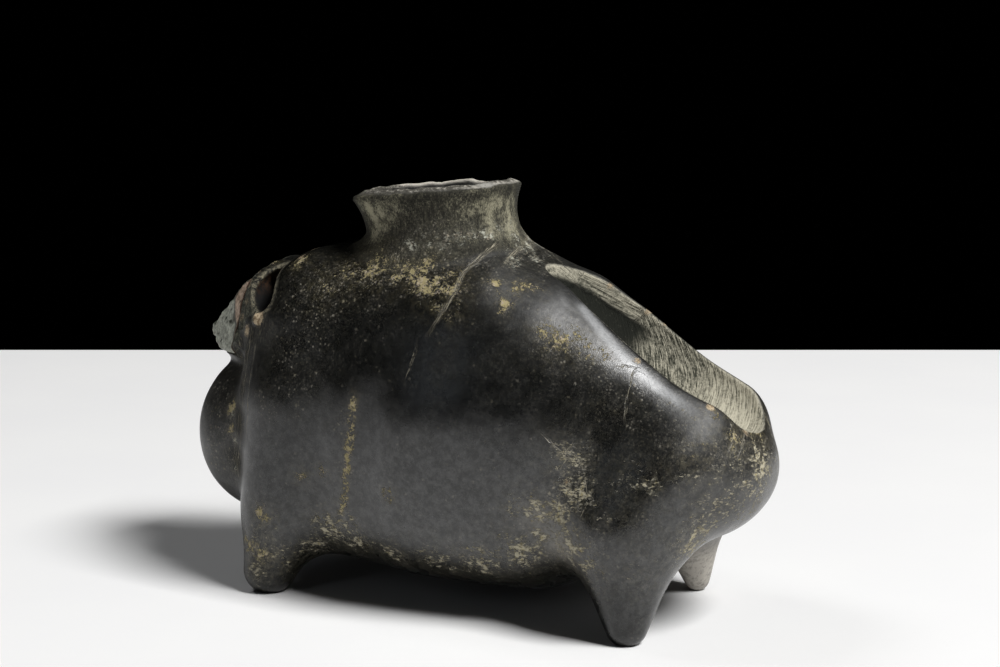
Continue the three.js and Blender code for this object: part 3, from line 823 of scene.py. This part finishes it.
class Finish:
    """A node material. Each method adds a node and gives back its output."""

    def __init__(self, name):
        self.material = bpy.data.materials.new(name)
        self.material.use_nodes = True
        self.tree = self.material.node_tree
        self.shader = self.tree.nodes["Principled BSDF"]
        self.place = self.node("TexCoord", output="Object")

    def node(self, kind, inputs=None, output=0, **settings):
        made = self.tree.nodes.new("ShaderNode" + kind)
        for key, value in settings.items():
            setattr(made, key, value)
        for socket, value in (inputs or {}).items():
            self.plug(value, made.inputs[socket])
        return made.outputs[output]

    def plug(self, value, socket):
        if isinstance(value, bpy.types.NodeSocket):
            self.tree.links.new(value, socket)
        else:
            socket.default_value = value

    def set(self, name, value):
        self.plug(value, self.shader.inputs[name])

    def mask(self, name):
        return self.node("Attribute", output="Fac", attribute_name=name)

    def line(self, name):
        """A mark's distance beside, distance along and nearness."""
        vector = self.node("Attribute", output="Vector", attribute_name=name)
        split = self.tree.nodes.new("ShaderNodeSeparateXYZ")
        self.tree.links.new(vector, split.inputs[0])
        return split.outputs[0], split.outputs[1], split.outputs[2]

    def math(self, operation, a, b=0.0, c=0.0, clamp=False):
        return self.node("Math", {0: a, 1: b, 2: c}, operation=operation, use_clamp=clamp)

    def band(self, value, low, high, start=0.0, end=1.0):
        """Goes smoothly from start to end while the value goes from low to high."""
        inputs = {0: value, 1: low, 2: high, 3: start, 4: end}
        return self.node("MapRange", inputs, interpolation_type="SMOOTHSTEP")

    def stretched(self, size, turn=(0, 0, 0)):
        """The place on the piece, counted in features of a size in millimetres along X, Y and Z."""
        scale = [1 / (MM * s) for s in size]
        turned = self.node("Mapping", {0: self.place, 2: [math.radians(t) for t in turn]})
        return self.node("Mapping", {0: turned, 3: scale})

    def grain(self, size, detail=2.0, rough=0.5, turn=(0, 0, 0)):
        """A cloudy pattern with features of a size in millimetres."""
        size = size if isinstance(size, tuple) else (size, size, size)
        inputs = {"Vector": self.stretched(size, turn), "Scale": 1.0, "Detail": detail}
        return self.node("TexNoise", inputs | {"Roughness": rough})

    def specks(self, size, rarity):
        """Small ragged spots about a size apart. The rarity is the share of places without one."""
        cells = self.tree.nodes.new("ShaderNodeTexVoronoi")
        here = self.stretched((size, size, size))
        noise = {"Vector": here, "Scale": 2.2, "Detail": 2.0}
        ragged = {0: self.node("TexNoise", noise, output="Color"), 1: (0.9, 0.9, 0.9), 2: here}
        moved = self.node("VectorMath", ragged, operation="MULTIPLY_ADD")
        self.plug(moved, cells.inputs["Vector"])
        cells.inputs["Scale"].default_value = 1.0
        chance = self.node("SeparateColor", {0: cells.outputs["Color"]})
        spot = self.band(cells.outputs["Distance"], 0.52, 0.12)
        return self.math("MULTIPLY", spot, self.band(chance, rarity, 1.0))

    def mix(self, amount, a, b):
        return self.node("Mix", {0: amount, 6: a, 7: b}, output=2, data_type="RGBA")

    def blend(self, amount, a, b):
        return self.node("Mix", {0: amount, 2: a, 3: b}, output=0, data_type="FLOAT")

    def bump(self, height, depth):
        return self.node("Bump", {"Height": height, "Distance": depth * MM, "Strength": 1.0})

    def most(self, first, *others, clamp=False):
        """The greatest of several values."""
        for other in others:
            first = self.math("MAXIMUM", first, other, clamp=clamp)
        return first

    def share(self, a, b, clamp=False):
        return self.math("MULTIPLY", a, b, clamp=clamp)


BLACK_STONE = (0.0036, 0.0038, 0.0037, 1)
CLOUDY_STONE = (0.0070, 0.0070, 0.0060, 1)
GREY_FLECK = (0.018, 0.019, 0.015, 1)
# Pale rubbed stone, which also paints the ridge's highlight beside the scoop.
RUBBED_STONE_AND_HIGHLIGHT = (0.25, 0.255, 0.26, 1)
STONE_DUST = (0.20, 0.18, 0.125, 1)
# Pale dust, which also paints light on the far rear leg.
PALE_DUST_AND_LIGHT = (0.48, 0.45, 0.40, 1)
SCRATCH_DUST = (0.44, 0.40, 0.30, 1)
OCHRE = (0.37, 0.315, 0.165, 1)
STREAK_DUST = (0.47, 0.43, 0.32, 1)
PINKISH_WHITE = (0.44, 0.37, 0.28, 1)
CRUST = (0.42, 0.42, 0.35, 1)
CREAM = (0.46, 0.37, 0.25, 1)
DARK_TAN = (0.20, 0.145, 0.085, 1)
# Rust on the fragment's crack, and painted bounce light in rust brown in the perforation.
RUST_AND_PAINTED_LIGHT = (0.05, 0.022, 0.009, 1)
NECK_DARK = (0.011, 0.0105, 0.0075, 1)
NECK_FILM = (0.32, 0.30, 0.21, 1)
LIP_DARK = (0.075, 0.070, 0.058, 1)
# Pale crumbs, which also paint the lip's highlight.
LIP_PALE_AND_HIGHLIGHT = (0.52, 0.49, 0.43, 1)
GROUND_DARK = (0.022, 0.024, 0.016, 1)
GROUND_PALE = (0.50, 0.47, 0.37, 1)
# Painted shadow in the deep part of the scoop, under its near edge.
GROUND_PAINTED_SHADOW = (0.006, 0.007, 0.004, 1)
BREAK_DARK = (0.035, 0.037, 0.029, 1)
BREAK_PALE = (0.16, 0.155, 0.115, 1)
FRESH_FLAKE = (0.33, 0.32, 0.29, 1)
FACET_GREYS = ((0.20, 0.21, 0.175, 1), (0.52, 0.53, 0.45, 1))
FACET_BEIGES = ((0.22, 0.16, 0.115, 1), (0.54, 0.405, 0.305, 1))
FACET_GREENS = ((0.014, 0.017, 0.011, 1), (0.075, 0.085, 0.06, 1))
SEAM_DARK = (0.012, 0.012, 0.010, 1)
TABLE_WHITES = ((0.875, 0.875, 0.88, 1), (0.89, 0.89, 0.89, 1))
TABLE_ROUGHNESS = 0.6

# How the polished stone, and what lies on it, take the light.
STONE_IOR = 1.72
FRACTURE_IOR = 1.5
POLISH = (0.21, 0.35)
RUBBED_POLISH = 0.17
DULL_ROUGHNESS = 0.85
SHEEN = (0.36, 0.56)
DULL_SHEEN = 0.14
# Millimetres of relief in the bump.
RELIEF = 0.12
# Rust brown, painted as bounce light, shows only on the perforation's upper wall: axis, where it
# starts and where it is full, in the frame.
RUST_AND_LIGHT_LIMITS = ((2, 66, 72), (2, 78, 74), (0, -30, -36))
# Where one part of the scoop gives way to another: along it from its upper end, or out of it.
SCOOP_LIMITS = {
    "upper_facet_ends": (6.0, 7.0),
    "lengthwise_lines_end": (21, 24),
    "painted_shadow_ends": (23, 30),
    "paler_lower_end": (34, 54),
    "slant_eases": (38, 50),
    "painted_shadow_below": (2.6, 3.6),
    "no_lengthwise_lines_below": (3.2, 3.9),
    "pale_edge": (-1.5, -0.4),
}
# How pale the ground stone is, and how much paler in each part of the scoop.
SCOOP_TONE = 0.28
PALER_LOWER_END = 0.55
PALER_FACET = 0.42
PALER_LENGTHWISE = 0.14
PALER_EDGE = 0.30
# How far the tool's lines lean, on the facet, on the rest and where that eases, and lengthwise.
FACET_SLANT = 3.3
SLANT = 1.75
SLANT_EASING = 0.8
LENGTHWISE_SLANT = 0.106
# The lines' spacing, their length before they break up, and how fast they change along the scoop.
SLANTING_LINES = (0.42, 3.2, 0.35)
LENGTHWISE_LINES = (0.45, 6.0, 0.1)
# The neck's parts, by distance from its axis or by height over its base. The lip's height is over
# its own edge.
NECK_LIMITS = {
    "lip_above": (-1.1, -0.5),
    "lip_from": (13.0, 14.0),
    "lip_until": (18.2, 19.2),
    "lip_edge": (17.0, 18.0),
    "wall_from": (14.8, 15.8),
    "wall_until": (19.6, 22),
    "wall_above": (-4.5, -1.0),
}


def scored_line(f, name, width, strand, patchiness):
    """A bundle of hairlines of a width in millimetres, ragged and broken along its length."""
    beside, along, near = f.line(name)
    place = f.node("CombineXYZ", {0: f.share(beside, 1 / strand), 1: f.share(along, 0.22)})
    strands = f.node("TexNoise", {"Vector": place, "Scale": 1.0, "Detail": 2.0})
    drift = f.math("MULTIPLY_ADD", f.grain(1.5, 2, 0.6), 0.8, -0.4)
    gap = f.math("ABSOLUTE", f.math("ADD", beside, drift))
    core = f.share(f.band(gap, width, width * 0.35), near)
    core = f.share(core, f.band(strands, 0.46, 0.60))
    return f.share(core, f.band(f.grain(2.4, 3, 0.65), *patchiness))


def settled_dust(f, colour):
    """Fine specks everywhere, and brighter ones where dust has settled in the pits."""
    settled = f.math("MULTIPLY_ADD", f.band(f.grain(5, 4, 0.65), 0.42, 0.68), 0.35, f.mask("dust"))
    haze_amount = f.math("MULTIPLY_ADD", settled, 0.18, 0.008)
    haze = f.share(f.band(f.grain(0.6, 5, 0.75), 0.45, 0.72), haze_amount)
    fine = f.share(f.specks(0.40, 0.2), f.math("MULTIPLY_ADD", settled, 0.26, 0.035))
    bright = f.share(f.specks(0.65, 0.55), f.band(settled, 0.15, 1.3, 0.0, 0.9))
    rare = f.share(f.specks(0.95, 0.90), f.band(settled, 0.0, 1.0, 0.12, 0.9))
    dusty = f.most(haze, fine, bright, rare)
    tint = f.mix(f.band(f.grain(2.2, 3, 0.6), 0.40, 0.62), STONE_DUST, PALE_DUST_AND_LIGHT)
    return f.mix(dusty, colour, f.mix(0.45, STONE_DUST, tint)), dusty


def mineral_spots(f, colour, where, tints, size, strength):
    """Broken dots of a mineral, closer together where there is more of it."""
    patchy = f.share(where, f.band(f.grain(2.4, 5, 0.75), 0.36, 0.64, 0.45, 1.3))
    cover = f.math("MULTIPLY_ADD", patchy, 0.36, f.grain(size, 4, 0.8))
    cover = f.share(f.band(cover, 0.78, 0.89), strength)
    wash = f.share(patchy, f.band(f.grain(1.3, 4, 0.75), 0.42, 0.62, 0.01, 0.13))
    cover = f.most(cover, wash)
    tint = f.mix(f.band(f.grain(0.9, 3, 0.7), 0.50, 0.66), *tints)
    return f.mix(cover, colour, tint), cover


def minerals_on(f, colour):
    """Ochre, which lies along the shoulder's groove too, streaky dust and pale crust."""
    beside, _, near = f.line("dusty_groove")
    groove = f.share(f.band(f.math("ABSOLUTE", beside), 2.2, 0.5), near)
    covers = []
    for where, tints, size, strength in (
        (f.most(f.mask("ochre"), groove), (OCHRE, PINKISH_WHITE), 0.5, 0.9),
        (f.mask("streaky_dust"), (STREAK_DUST, OCHRE), (1.3, 1.3, 0.42), 0.85),
        (f.mask("crust"), (CRUST, PINKISH_WHITE), (0.8, 0.8, 0.3), 0.85),
    ):
        colour, cover = mineral_spots(f, colour, where, tints, size, strength)
        covers.append(cover)
    return colour, f.most(*covers)


def neck_colour(f, colour, neck):
    """The unpolished neck: dark and streaked, with a film of pale dust at both ends."""
    streaks = f.band(f.grain((0.7, 0.7, 5.0), 4, 0.65), 0.42, 0.70, 0.0, 0.10)
    wall = f.mix(streaks, NECK_DARK, NECK_FILM)
    blotches = f.band(f.grain(3.0, 4, 0.7), 0.36, 0.64, 0.14, 0.38)
    fine = f.grain((0.35, 0.35, 0.6), 5, 0.85)
    flecks = f.math("MULTIPLY_ADD", f.mask("neck_film"), blotches, fine)
    wall = f.mix(f.band(flecks, 0.56, 1.0), wall, NECK_FILM)
    return f.mix(neck, colour, wall)


def scratched(f, colour):
    """Dust in the scratches, and the pale line where the scoop's edge is rubbed, which is also a
    painted highlight along the ridge.
    """
    deep = scored_line(f, "deep_scratches", 0.8, 0.17, (0.30, 0.44))
    thin = scored_line(f, "thin_scratches", 0.38, 0.25, (0.34, 0.50))
    scratch = f.most(deep, thin)
    colour = f.mix(f.share(scratch, 0.85), colour, SCRATCH_DUST)
    # Painted highlight: a pale line of rubbed stone along the ridge beside the scoop.
    beside, _, near = f.line("rubbed_edge_and_highlight")
    rubbed_edge_and_highlight = f.share(f.band(f.math("ABSOLUTE", beside), 2.0, 0.3), near)
    rubbed_edge_and_highlight = f.share(rubbed_edge_and_highlight, f.band(f.grain(0.5, 5, 0.8), 0.3, 0.6, 0.45, 0.9))
    return f.mix(rubbed_edge_and_highlight, colour, RUBBED_STONE_AND_HIGHLIGHT), scratch


def filmed(f, colour):
    """Upright streaks on the chest, and the pale dust that covers the far rear leg, which is also
    painted light on that leg.
    """
    streaks = f.band(f.grain((0.35, 0.35, 7), 4, 0.65, turn=(0, 6, 0)), 0.50, 0.66)
    striated = f.share(streaks, f.mask("striated"))
    colour = f.mix(f.share(striated, 0.7), colour, STONE_DUST)
    # Painted light: the far rear leg is made pale where lamp and table light it.
    pale_cover = f.band(f.grain(1.0, 4, 0.7), 0.3, 0.6, 0.5, 1.0)
    pale = f.share(f.mask("pale_dust_and_light"), pale_cover, clamp=True)
    return f.mix(pale, colour, PALE_DUST_AND_LIGHT), pale


def ground_colour(f, tool_lines):
    """The ground scoop: pale and dark along the tool's lines, and nearly black with painted shadow
    in its deepest part.
    """
    lines = f.math("SUBTRACT", tool_lines, 0.5)
    tone = f.math("MULTIPLY_ADD", lines, 3.0, f.mask("ground_tone"))
    specks = f.math("SUBTRACT", f.grain(0.7, 5, 0.8), 0.5)
    tone = f.math("MULTIPLY_ADD", specks, 2.2, tone, clamp=True)
    # Painted shadow: the deep part under the scoop's near edge is made nearly black.
    worn = f.share(f.mask("ground_painted_shadow"), f.band(f.grain(0.9, 4, 0.8), 0.72, 0.56, 0.85, 1.0))
    return f.mix(worn, f.mix(tone, GROUND_DARK, GROUND_PALE), GROUND_PAINTED_SHADOW)


def broken_colour(f, colour, broken, lip):
    """The break at the head, and the lip with its crumbs and fresh flakes. More pale crumbs on the
    lip's far side and right edge paint a highlight there.
    """
    face = f.mix(f.band(f.grain(1.2, 5, 0.75), 0.44, 0.66), BREAK_DARK, BREAK_PALE)
    colour = f.mix(broken, colour, face)
    # Painted highlight: more pale crumbs on the lip's far side and its outer edge to the right.
    crumbs = f.math("MULTIPLY_ADD", f.mask("lip_crumbs_and_highlight"), 0.3, f.grain(0.9, 4, 0.75))
    colour = f.mix(lip, colour, f.mix(f.band(crumbs, 0.48, 0.74), LIP_DARK, LIP_PALE_AND_HIGHLIGHT))
    flake = f.mix(f.band(f.grain(0.8, 4, 0.7), 0.28, 0.52), LIP_DARK, FRESH_FLAKE)
    return f.mix(f.mask("flaked"), colour, flake)


def hollow_colour(f, colour, rim, tan, inner):
    """Dust round the perforation, tan edges, and black inside, with rust brown on the perforation's
    upper wall, which is painted bounce light.
    """
    dusty_rim = f.share(rim, f.band(f.grain(0.8, 5, 0.8), 0.42, 0.62))
    colour = f.mix(dusty_rim, colour, STONE_DUST)
    tan_colour = f.mix(f.band(f.grain(0.8, 4, 0.7), 0.40, 0.58), DARK_TAN, CREAM)
    colour = f.mix(tan, colour, tan_colour)
    # Painted light: the perforation's upper wall, where light from the table falls, is rust brown.
    rust = f.band(f.grain(1.2, 4, 0.7), 0.38, 0.62)
    for axis, beyond, within in RUST_AND_LIGHT_LIMITS:
        coordinate = f.node("SeparateXYZ", {0: f.place}, output=axis)
        rust = f.share(rust, f.band(coordinate, beyond * MM, within * MM))
    return f.mix(inner, colour, f.mix(rust, BLACK_STONE, RUST_AND_PAINTED_LIGHT))


def worn_stone():
    """Polished black stone with dust, mineral crust, scratches, ground and broken faces, and some
    painted highlights, light and shadow.
    """
    f = Finish("worn_black_stone")
    neck, ground, broken, lip = (f.mask(name) for name in ("neck_wall", "ground", "broken", "lip"))
    rim, inner = f.mask("hole_rim"), f.mask("inner")
    tan = f.band(f.math("MULTIPLY_ADD", f.grain(0.4, 4, 0.8), 1.6, f.mask("tan")), 1.35, 1.75)

    colour = f.mix(f.band(f.grain(14, 4, 0.6), 0.4, 0.75), BLACK_STONE, CLOUDY_STONE)
    flecked = f.band(f.grain(1.0, 5, 0.8), 0.50, 0.72, 0.0, 0.6)
    colour = neck_colour(f, f.mix(flecked, colour, GREY_FLECK), neck)
    colour, dusty = settled_dust(f, colour)
    colour, minerals = minerals_on(f, colour)
    colour, scratch = scratched(f, colour)
    colour, pale = filmed(f, colour)
    place = f.node("Attribute", output="Vector", attribute_name="tool_lines")
    noise = {"Vector": place, "Scale": 1.0, "Detail": 3.0, "Roughness": 0.65}
    tool_lines = f.node("TexNoise", noise)
    colour = f.mix(ground, colour, ground_colour(f, tool_lines))
    colour = broken_colour(f, colour, broken, lip)
    f.set("Base Color", hollow_colour(f, colour, rim, tan, inner))

    on_polish = f.band(f.most(dusty, minerals, scratch), 0.15, 0.75)
    films = f.most(neck, pale, lip, f.mask("striated"))
    dull = f.most(on_polish, ground, broken, inner, rim, tan, films, clamp=True)
    polish = f.band(f.grain(5, 4, 0.6), 0.2, 0.8, *POLISH)
    polish = f.math("MULTIPLY_ADD", f.mask("rubbed"), RUBBED_POLISH, polish)
    f.set("Roughness", f.blend(dull, polish, DULL_ROUGHNESS))
    sheen = f.band(f.grain(2.0, 5, 0.8), 0.36, 0.66, *SHEEN)
    unpolished = f.most(dull, f.mask("dark_wear"), clamp=True)
    f.set("Specular IOR Level", f.blend(unpolished, sheen, DULL_SHEEN))
    f.set("IOR", STONE_IOR)

    height = f.math("MULTIPLY_ADD", dusty, 0.35, f.share(f.grain(0.3, 3, 0.7), 0.16))
    height = f.math("MULTIPLY_ADD", scratch, -1.0, height)
    height = f.math("ADD", minerals, height)
    tool_height = f.share(tool_lines, f.share(ground, 3.5))
    stepped = f.most(broken, lip, f.share(neck, 0.3))
    steps = f.share(f.grain(0.9, 5, 0.7), f.share(stepped, 4.0))
    height = f.math("ADD", height, f.math("ADD", tool_height, steps))
    f.set("Normal", f.bump(height, RELIEF))
    return f.material


def broken_stone():
    """The set-back piece's fracture: dark on top, grey in front, and beige by its crack."""
    f = Finish("grey_green_fracture")
    grain = f.grain(0.9, 5, 0.7)
    grey = f.mix(f.band(grain, 0.36, 0.66), *FACET_GREYS)
    beige = f.mix(f.band(grain, 0.38, 0.62), *FACET_BEIGES)
    green = f.mix(f.band(grain, 0.40, 0.68), *FACET_GREENS)
    colour = f.mix(f.mask("beige_facet"), grey, beige)
    colour = f.mix(f.mask("top_facet"), colour, green)
    colour = f.mix(f.share(f.mask("seam"), 0.75), colour, SEAM_DARK)
    colour = f.mix(f.mask("rust"), colour, RUST_AND_PAINTED_LIGHT)
    f.set("Base Color", colour)
    f.set("Roughness", f.band(grain, 0.3, 0.7, 0.6, 0.85))
    f.set("IOR", FRACTURE_IOR)
    f.set("Normal", f.bump(f.grain(0.8, 6, 0.7), 0.2))
    return f.material


def white_table():
    f = Finish("white_table")
    cloud = f.band(f.grain(60, 3, 0.5), 0.3, 0.7)
    f.set("Base Color", f.mix(cloud, *TABLE_WHITES))
    f.set("Roughness", TABLE_ROUGHNESS)
    return f.material


def line_place(beside, along, s, sizes):
    spacing, length, change = sizes
    return np.stack([beside / spacing, along / length, change * s], 1)


def scoop_marks(s, out, ragged):
    """Where the tool's lines run in the scoop, how pale the ground stone is there, and where
    painted shadow darkens its deep part.
    """
    below_facet = smooth(s, *SCOOP_LIMITS["upper_facet_ends"])
    facet = 1 - below_facet
    # Painted shadow lies in the upper, deep part of the scoop, under its near edge.
    deep = 1 - smooth(s, *SCOOP_LIMITS["painted_shadow_ends"])
    deep = deep * smooth(-out, *SCOOP_LIMITS["painted_shadow_below"])
    end, low = s + 2.5 * ragged, out + 0.5 * ragged
    ending = 1 - smooth(end, *SCOOP_LIMITS["lengthwise_lines_end"])
    shallow = 1 - smooth(-low, *SCOOP_LIMITS["no_lengthwise_lines_below"])
    lengthwise = below_facet * ending * shallow > 0.5
    easing = SLANT_EASING * smooth(s, *SCOOP_LIMITS["slant_eases"])
    slant = np.where(facet > 0.5, FACET_SLANT, SLANT - easing)
    slanting_lines = line_place(s + slant * out, out, s, SLANTING_LINES)
    lengthwise_lines = line_place(out - LENGTHWISE_SLANT * s, s, s, LENGTHWISE_LINES)
    place = np.where(lengthwise[:, None], lengthwise_lines, slanting_lines)
    tone = SCOOP_TONE + PALER_LOWER_END * smooth(s, *SCOOP_LIMITS["paler_lower_end"])
    tone = tone + PALER_FACET * facet + PALER_LENGTHWISE * lengthwise
    return place, tone + PALER_EDGE * smooth(out, *SCOOP_LIMITS["pale_edge"]), deep


def near_zero(value, within, gone):
    """1 where a form's surface is, and 0 further from it than gone."""
    return 1 - smooth(np.abs(value), within, gone)


def finish_stone(piece):
    points = points_of(piece)
    normals = facing_of(stone_form, points)
    x, y, z = points.T
    store(piece, {name: patch_strength(points, name, patches) for name, patches in PATCHES.items()})
    store(piece, {name: mark_lines(points, normals, lines) for name, lines in SCRATCHES.items()})
    skin = uncut_form(x, y, z)
    s, _, out = scoop_place(x, y, z)
    tool_lines, tone, deep = scoop_marks(s, out, fracture(x, y, z, 1.3))
    broken = near_zero(ahead_of_crack(x, y, z), 0.1, 0.4)
    for face in lost_parts(x, y, z):
        broken = np.maximum(broken, near_zero(face, 0.2, 0.5))
    flaked = near_zero(np.minimum(lip_flakes(x, y, z), lip_scar(x, y, z)), 0.15, 0.4)
    radius, height, bearing = neck_place(x, y, z)
    lip = smooth(height - lip_height(bearing), *NECK_LIMITS["lip_above"])
    lip = lip * smooth(radius, *NECK_LIMITS["lip_from"])
    lip = lip * (1 - smooth(radius, *NECK_LIMITS["lip_until"]))
    lip_edge = smooth(radius, *NECK_LIMITS["lip_edge"]) * smooth(x, 0, 6)
    wall = smooth(radius, *NECK_LIMITS["wall_from"]) * smooth(height, *NECK_LIMITS["wall_above"])
    wall = wall * (1 - smooth(radius, *NECK_LIMITS["wall_until"]))
    hole = np.abs(perforation(x, z))
    insides = np.abs(neck_bore(x, y, z)), np.abs(ellipsoid(x, y, z, HOLLOW)), hole
    marks = {
        "ground": near_zero(scoop(x, y, z), 0.25, 0.7) * smooth(-skin, 0.05, 0.45),
        "tool_lines": tool_lines,
        "ground_tone": tone,
        # Painted shadow in the scoop's deep part.
        "ground_painted_shadow": deep,
        "broken": broken * smooth(-skin, 0.02, 0.3),
        "flaked": flaked * smooth(-skin, 0.05, 0.3) * smooth(x, -4, 1),
        "lip": lip,
        # Painted highlight on the lip's far side and its outer right edge.
        "lip_crumbs_and_highlight": smooth(y, 4, 12) + 0.6 * lip_edge,
        "neck_wall": wall * (1 - lip),
        "inner": near_zero(np.minimum.reduce(insides), 0.5, 1.0) * smooth(-skin, 0.3, 1.2),
        "hole_rim": near_zero(hole, 0.8, 1.9),
    }
    store(piece, marks)
    piece.data.materials.append(worn_stone())


def finish_fragment(piece):
    points = points_of(piece)
    x, y, z = points.T
    crack = beyond(x, y, z, CRACK_POINT + CRACK_FACING * CRACK_GAP, CRACK_FACING)
    seam = seen_at([SEAM_PIXEL])[0]
    across = (points - seam) @ photograph_axes()[0] + 0.9 * fracture(x, y, z, 3.0)
    marks = {
        "rust": near_zero(crack, 0.1, 0.5),
        "seam": near_zero(across, 0.1, 0.45),
        "beige_facet": smooth(across, -0.2, 0.6),
        "top_facet": smooth(facing_of(fragment_form, points)[:, 2], 0.45, 0.62),
    }
    store(piece, marks)
    piece.data.materials.append(broken_stone())


SENSOR_WIDTH = 36.0


def make_camera():
    """The camera that was fitted to the photograph."""
    data = bpy.data.cameras.new("camera")
    data.sensor_width = SENSOR_WIDTH
    data.lens = data.sensor_width * CAMERA_FOCAL_PIXELS / FRAME_WIDTH
    data.clip_start = 0.01
    camera = bpy.data.objects.new("camera", data)
    camera.location = ((CAMERA_PLACE + ORIGIN_SHIFT) * MM).tolist()
    camera.rotation_euler = (math.radians(90 - CAMERA_PITCH), 0, math.radians(CAMERA_AZIMUTH))
    bpy.context.scene.collection.objects.link(camera)
    bpy.context.scene.camera = camera


# Millimetres ahead of the camera, and to each side.
TABLE_BACK = 752
TABLE_FRONT = -900
TABLE_HALF_WIDTH = 2600


def make_table():
    """A white table whose straight back edge is square to the photograph's view."""
    a = math.radians(CAMERA_AZIMUTH)
    ahead = np.array([-math.sin(a), math.cos(a), 0.0])
    side = np.array([math.cos(a), math.sin(a), 0.0])
    start = np.array([CAMERA_PLACE[0], CAMERA_PLACE[1], 0.0])
    corners = []
    for forward, hand in ((TABLE_FRONT, -1), (TABLE_FRONT, 1), (TABLE_BACK, 1), (TABLE_BACK, -1)):
        corners.append(start + ahead * forward + side * hand * TABLE_HALF_WIDTH)
    table = make_object("table_top", np.array(corners), np.array([[0, 1, 2, 3]]))
    table.data.materials.append(white_table())


# Place and target in millimetres from the feet, width and height in millimetres, watts, and colour.
LAMPS = {
    "overhead_softbox": ((1505, -266, 2115), (0, 0, 30), (850, 850), 87, (1.0, 0.996, 0.990)),
    "window": ((-270, -745, 360), (0, 0, 50), (125, 400), 0.09, (0.84, 0.91, 1.0)),
    "wall_glow": ((-1118, 0, 1658), (0, 0, 0), (700, 700), 6.0, (1.0, 1.0, 1.0)),
}
DARK_ROOM = (0.00005, 0.00005, 0.00005, 1)


def soft_lamp(name, place, target, size, power, colour):
    data = bpy.data.lights.new(name, "AREA")
    data.shape = "RECTANGLE"
    data.size, data.size_y = size[0] * MM, size[1] * MM
    data.energy = power
    data.color = colour
    lamp = bpy.data.objects.new(name, data)
    lamp.location = ((np.array(place) + ORIGIN_SHIFT) * MM).tolist()
    away = Vector(target) - Vector(place)
    lamp.rotation_euler = away.to_track_quat("-Z", "Y").to_euler()
    bpy.context.scene.collection.objects.link(lamp)
    return lamp


def make_light():
    """A large lamp over the right, a dim window at the left, and light from the walls."""
    lamps = {name: soft_lamp(name, *values) for name, values in LAMPS.items()}
    lamps["wall_glow"].visible_glossy = False
    world = bpy.data.worlds.new("dark_room")
    world.use_nodes = True
    background = world.node_tree.nodes["Background"]
    background.inputs["Color"].default_value = DARK_ROOM
    bpy.context.scene.world = world
    bpy.context.scene.view_settings.view_transform = "Standard"


stone = carved_piece("carved_stone", stone_form, STONE_SPACE, STONE_CELL, STONE_TRIANGLES)
fragment = carved_piece(
    "set_back_fragment", fragment_form, FRAGMENT_SPACE, FRAGMENT_CELL, FRAGMENT_TRIANGLES
)
finish_stone(stone)
finish_fragment(fragment)
for piece, node_name, slot in (
    (stone, "vessel_body", "polished_stone"),
    (fragment, "head_fragment", "broken_stone"),
):
    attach(piece, "root")
    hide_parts(node_name)

make_camera()
make_table()
make_light()
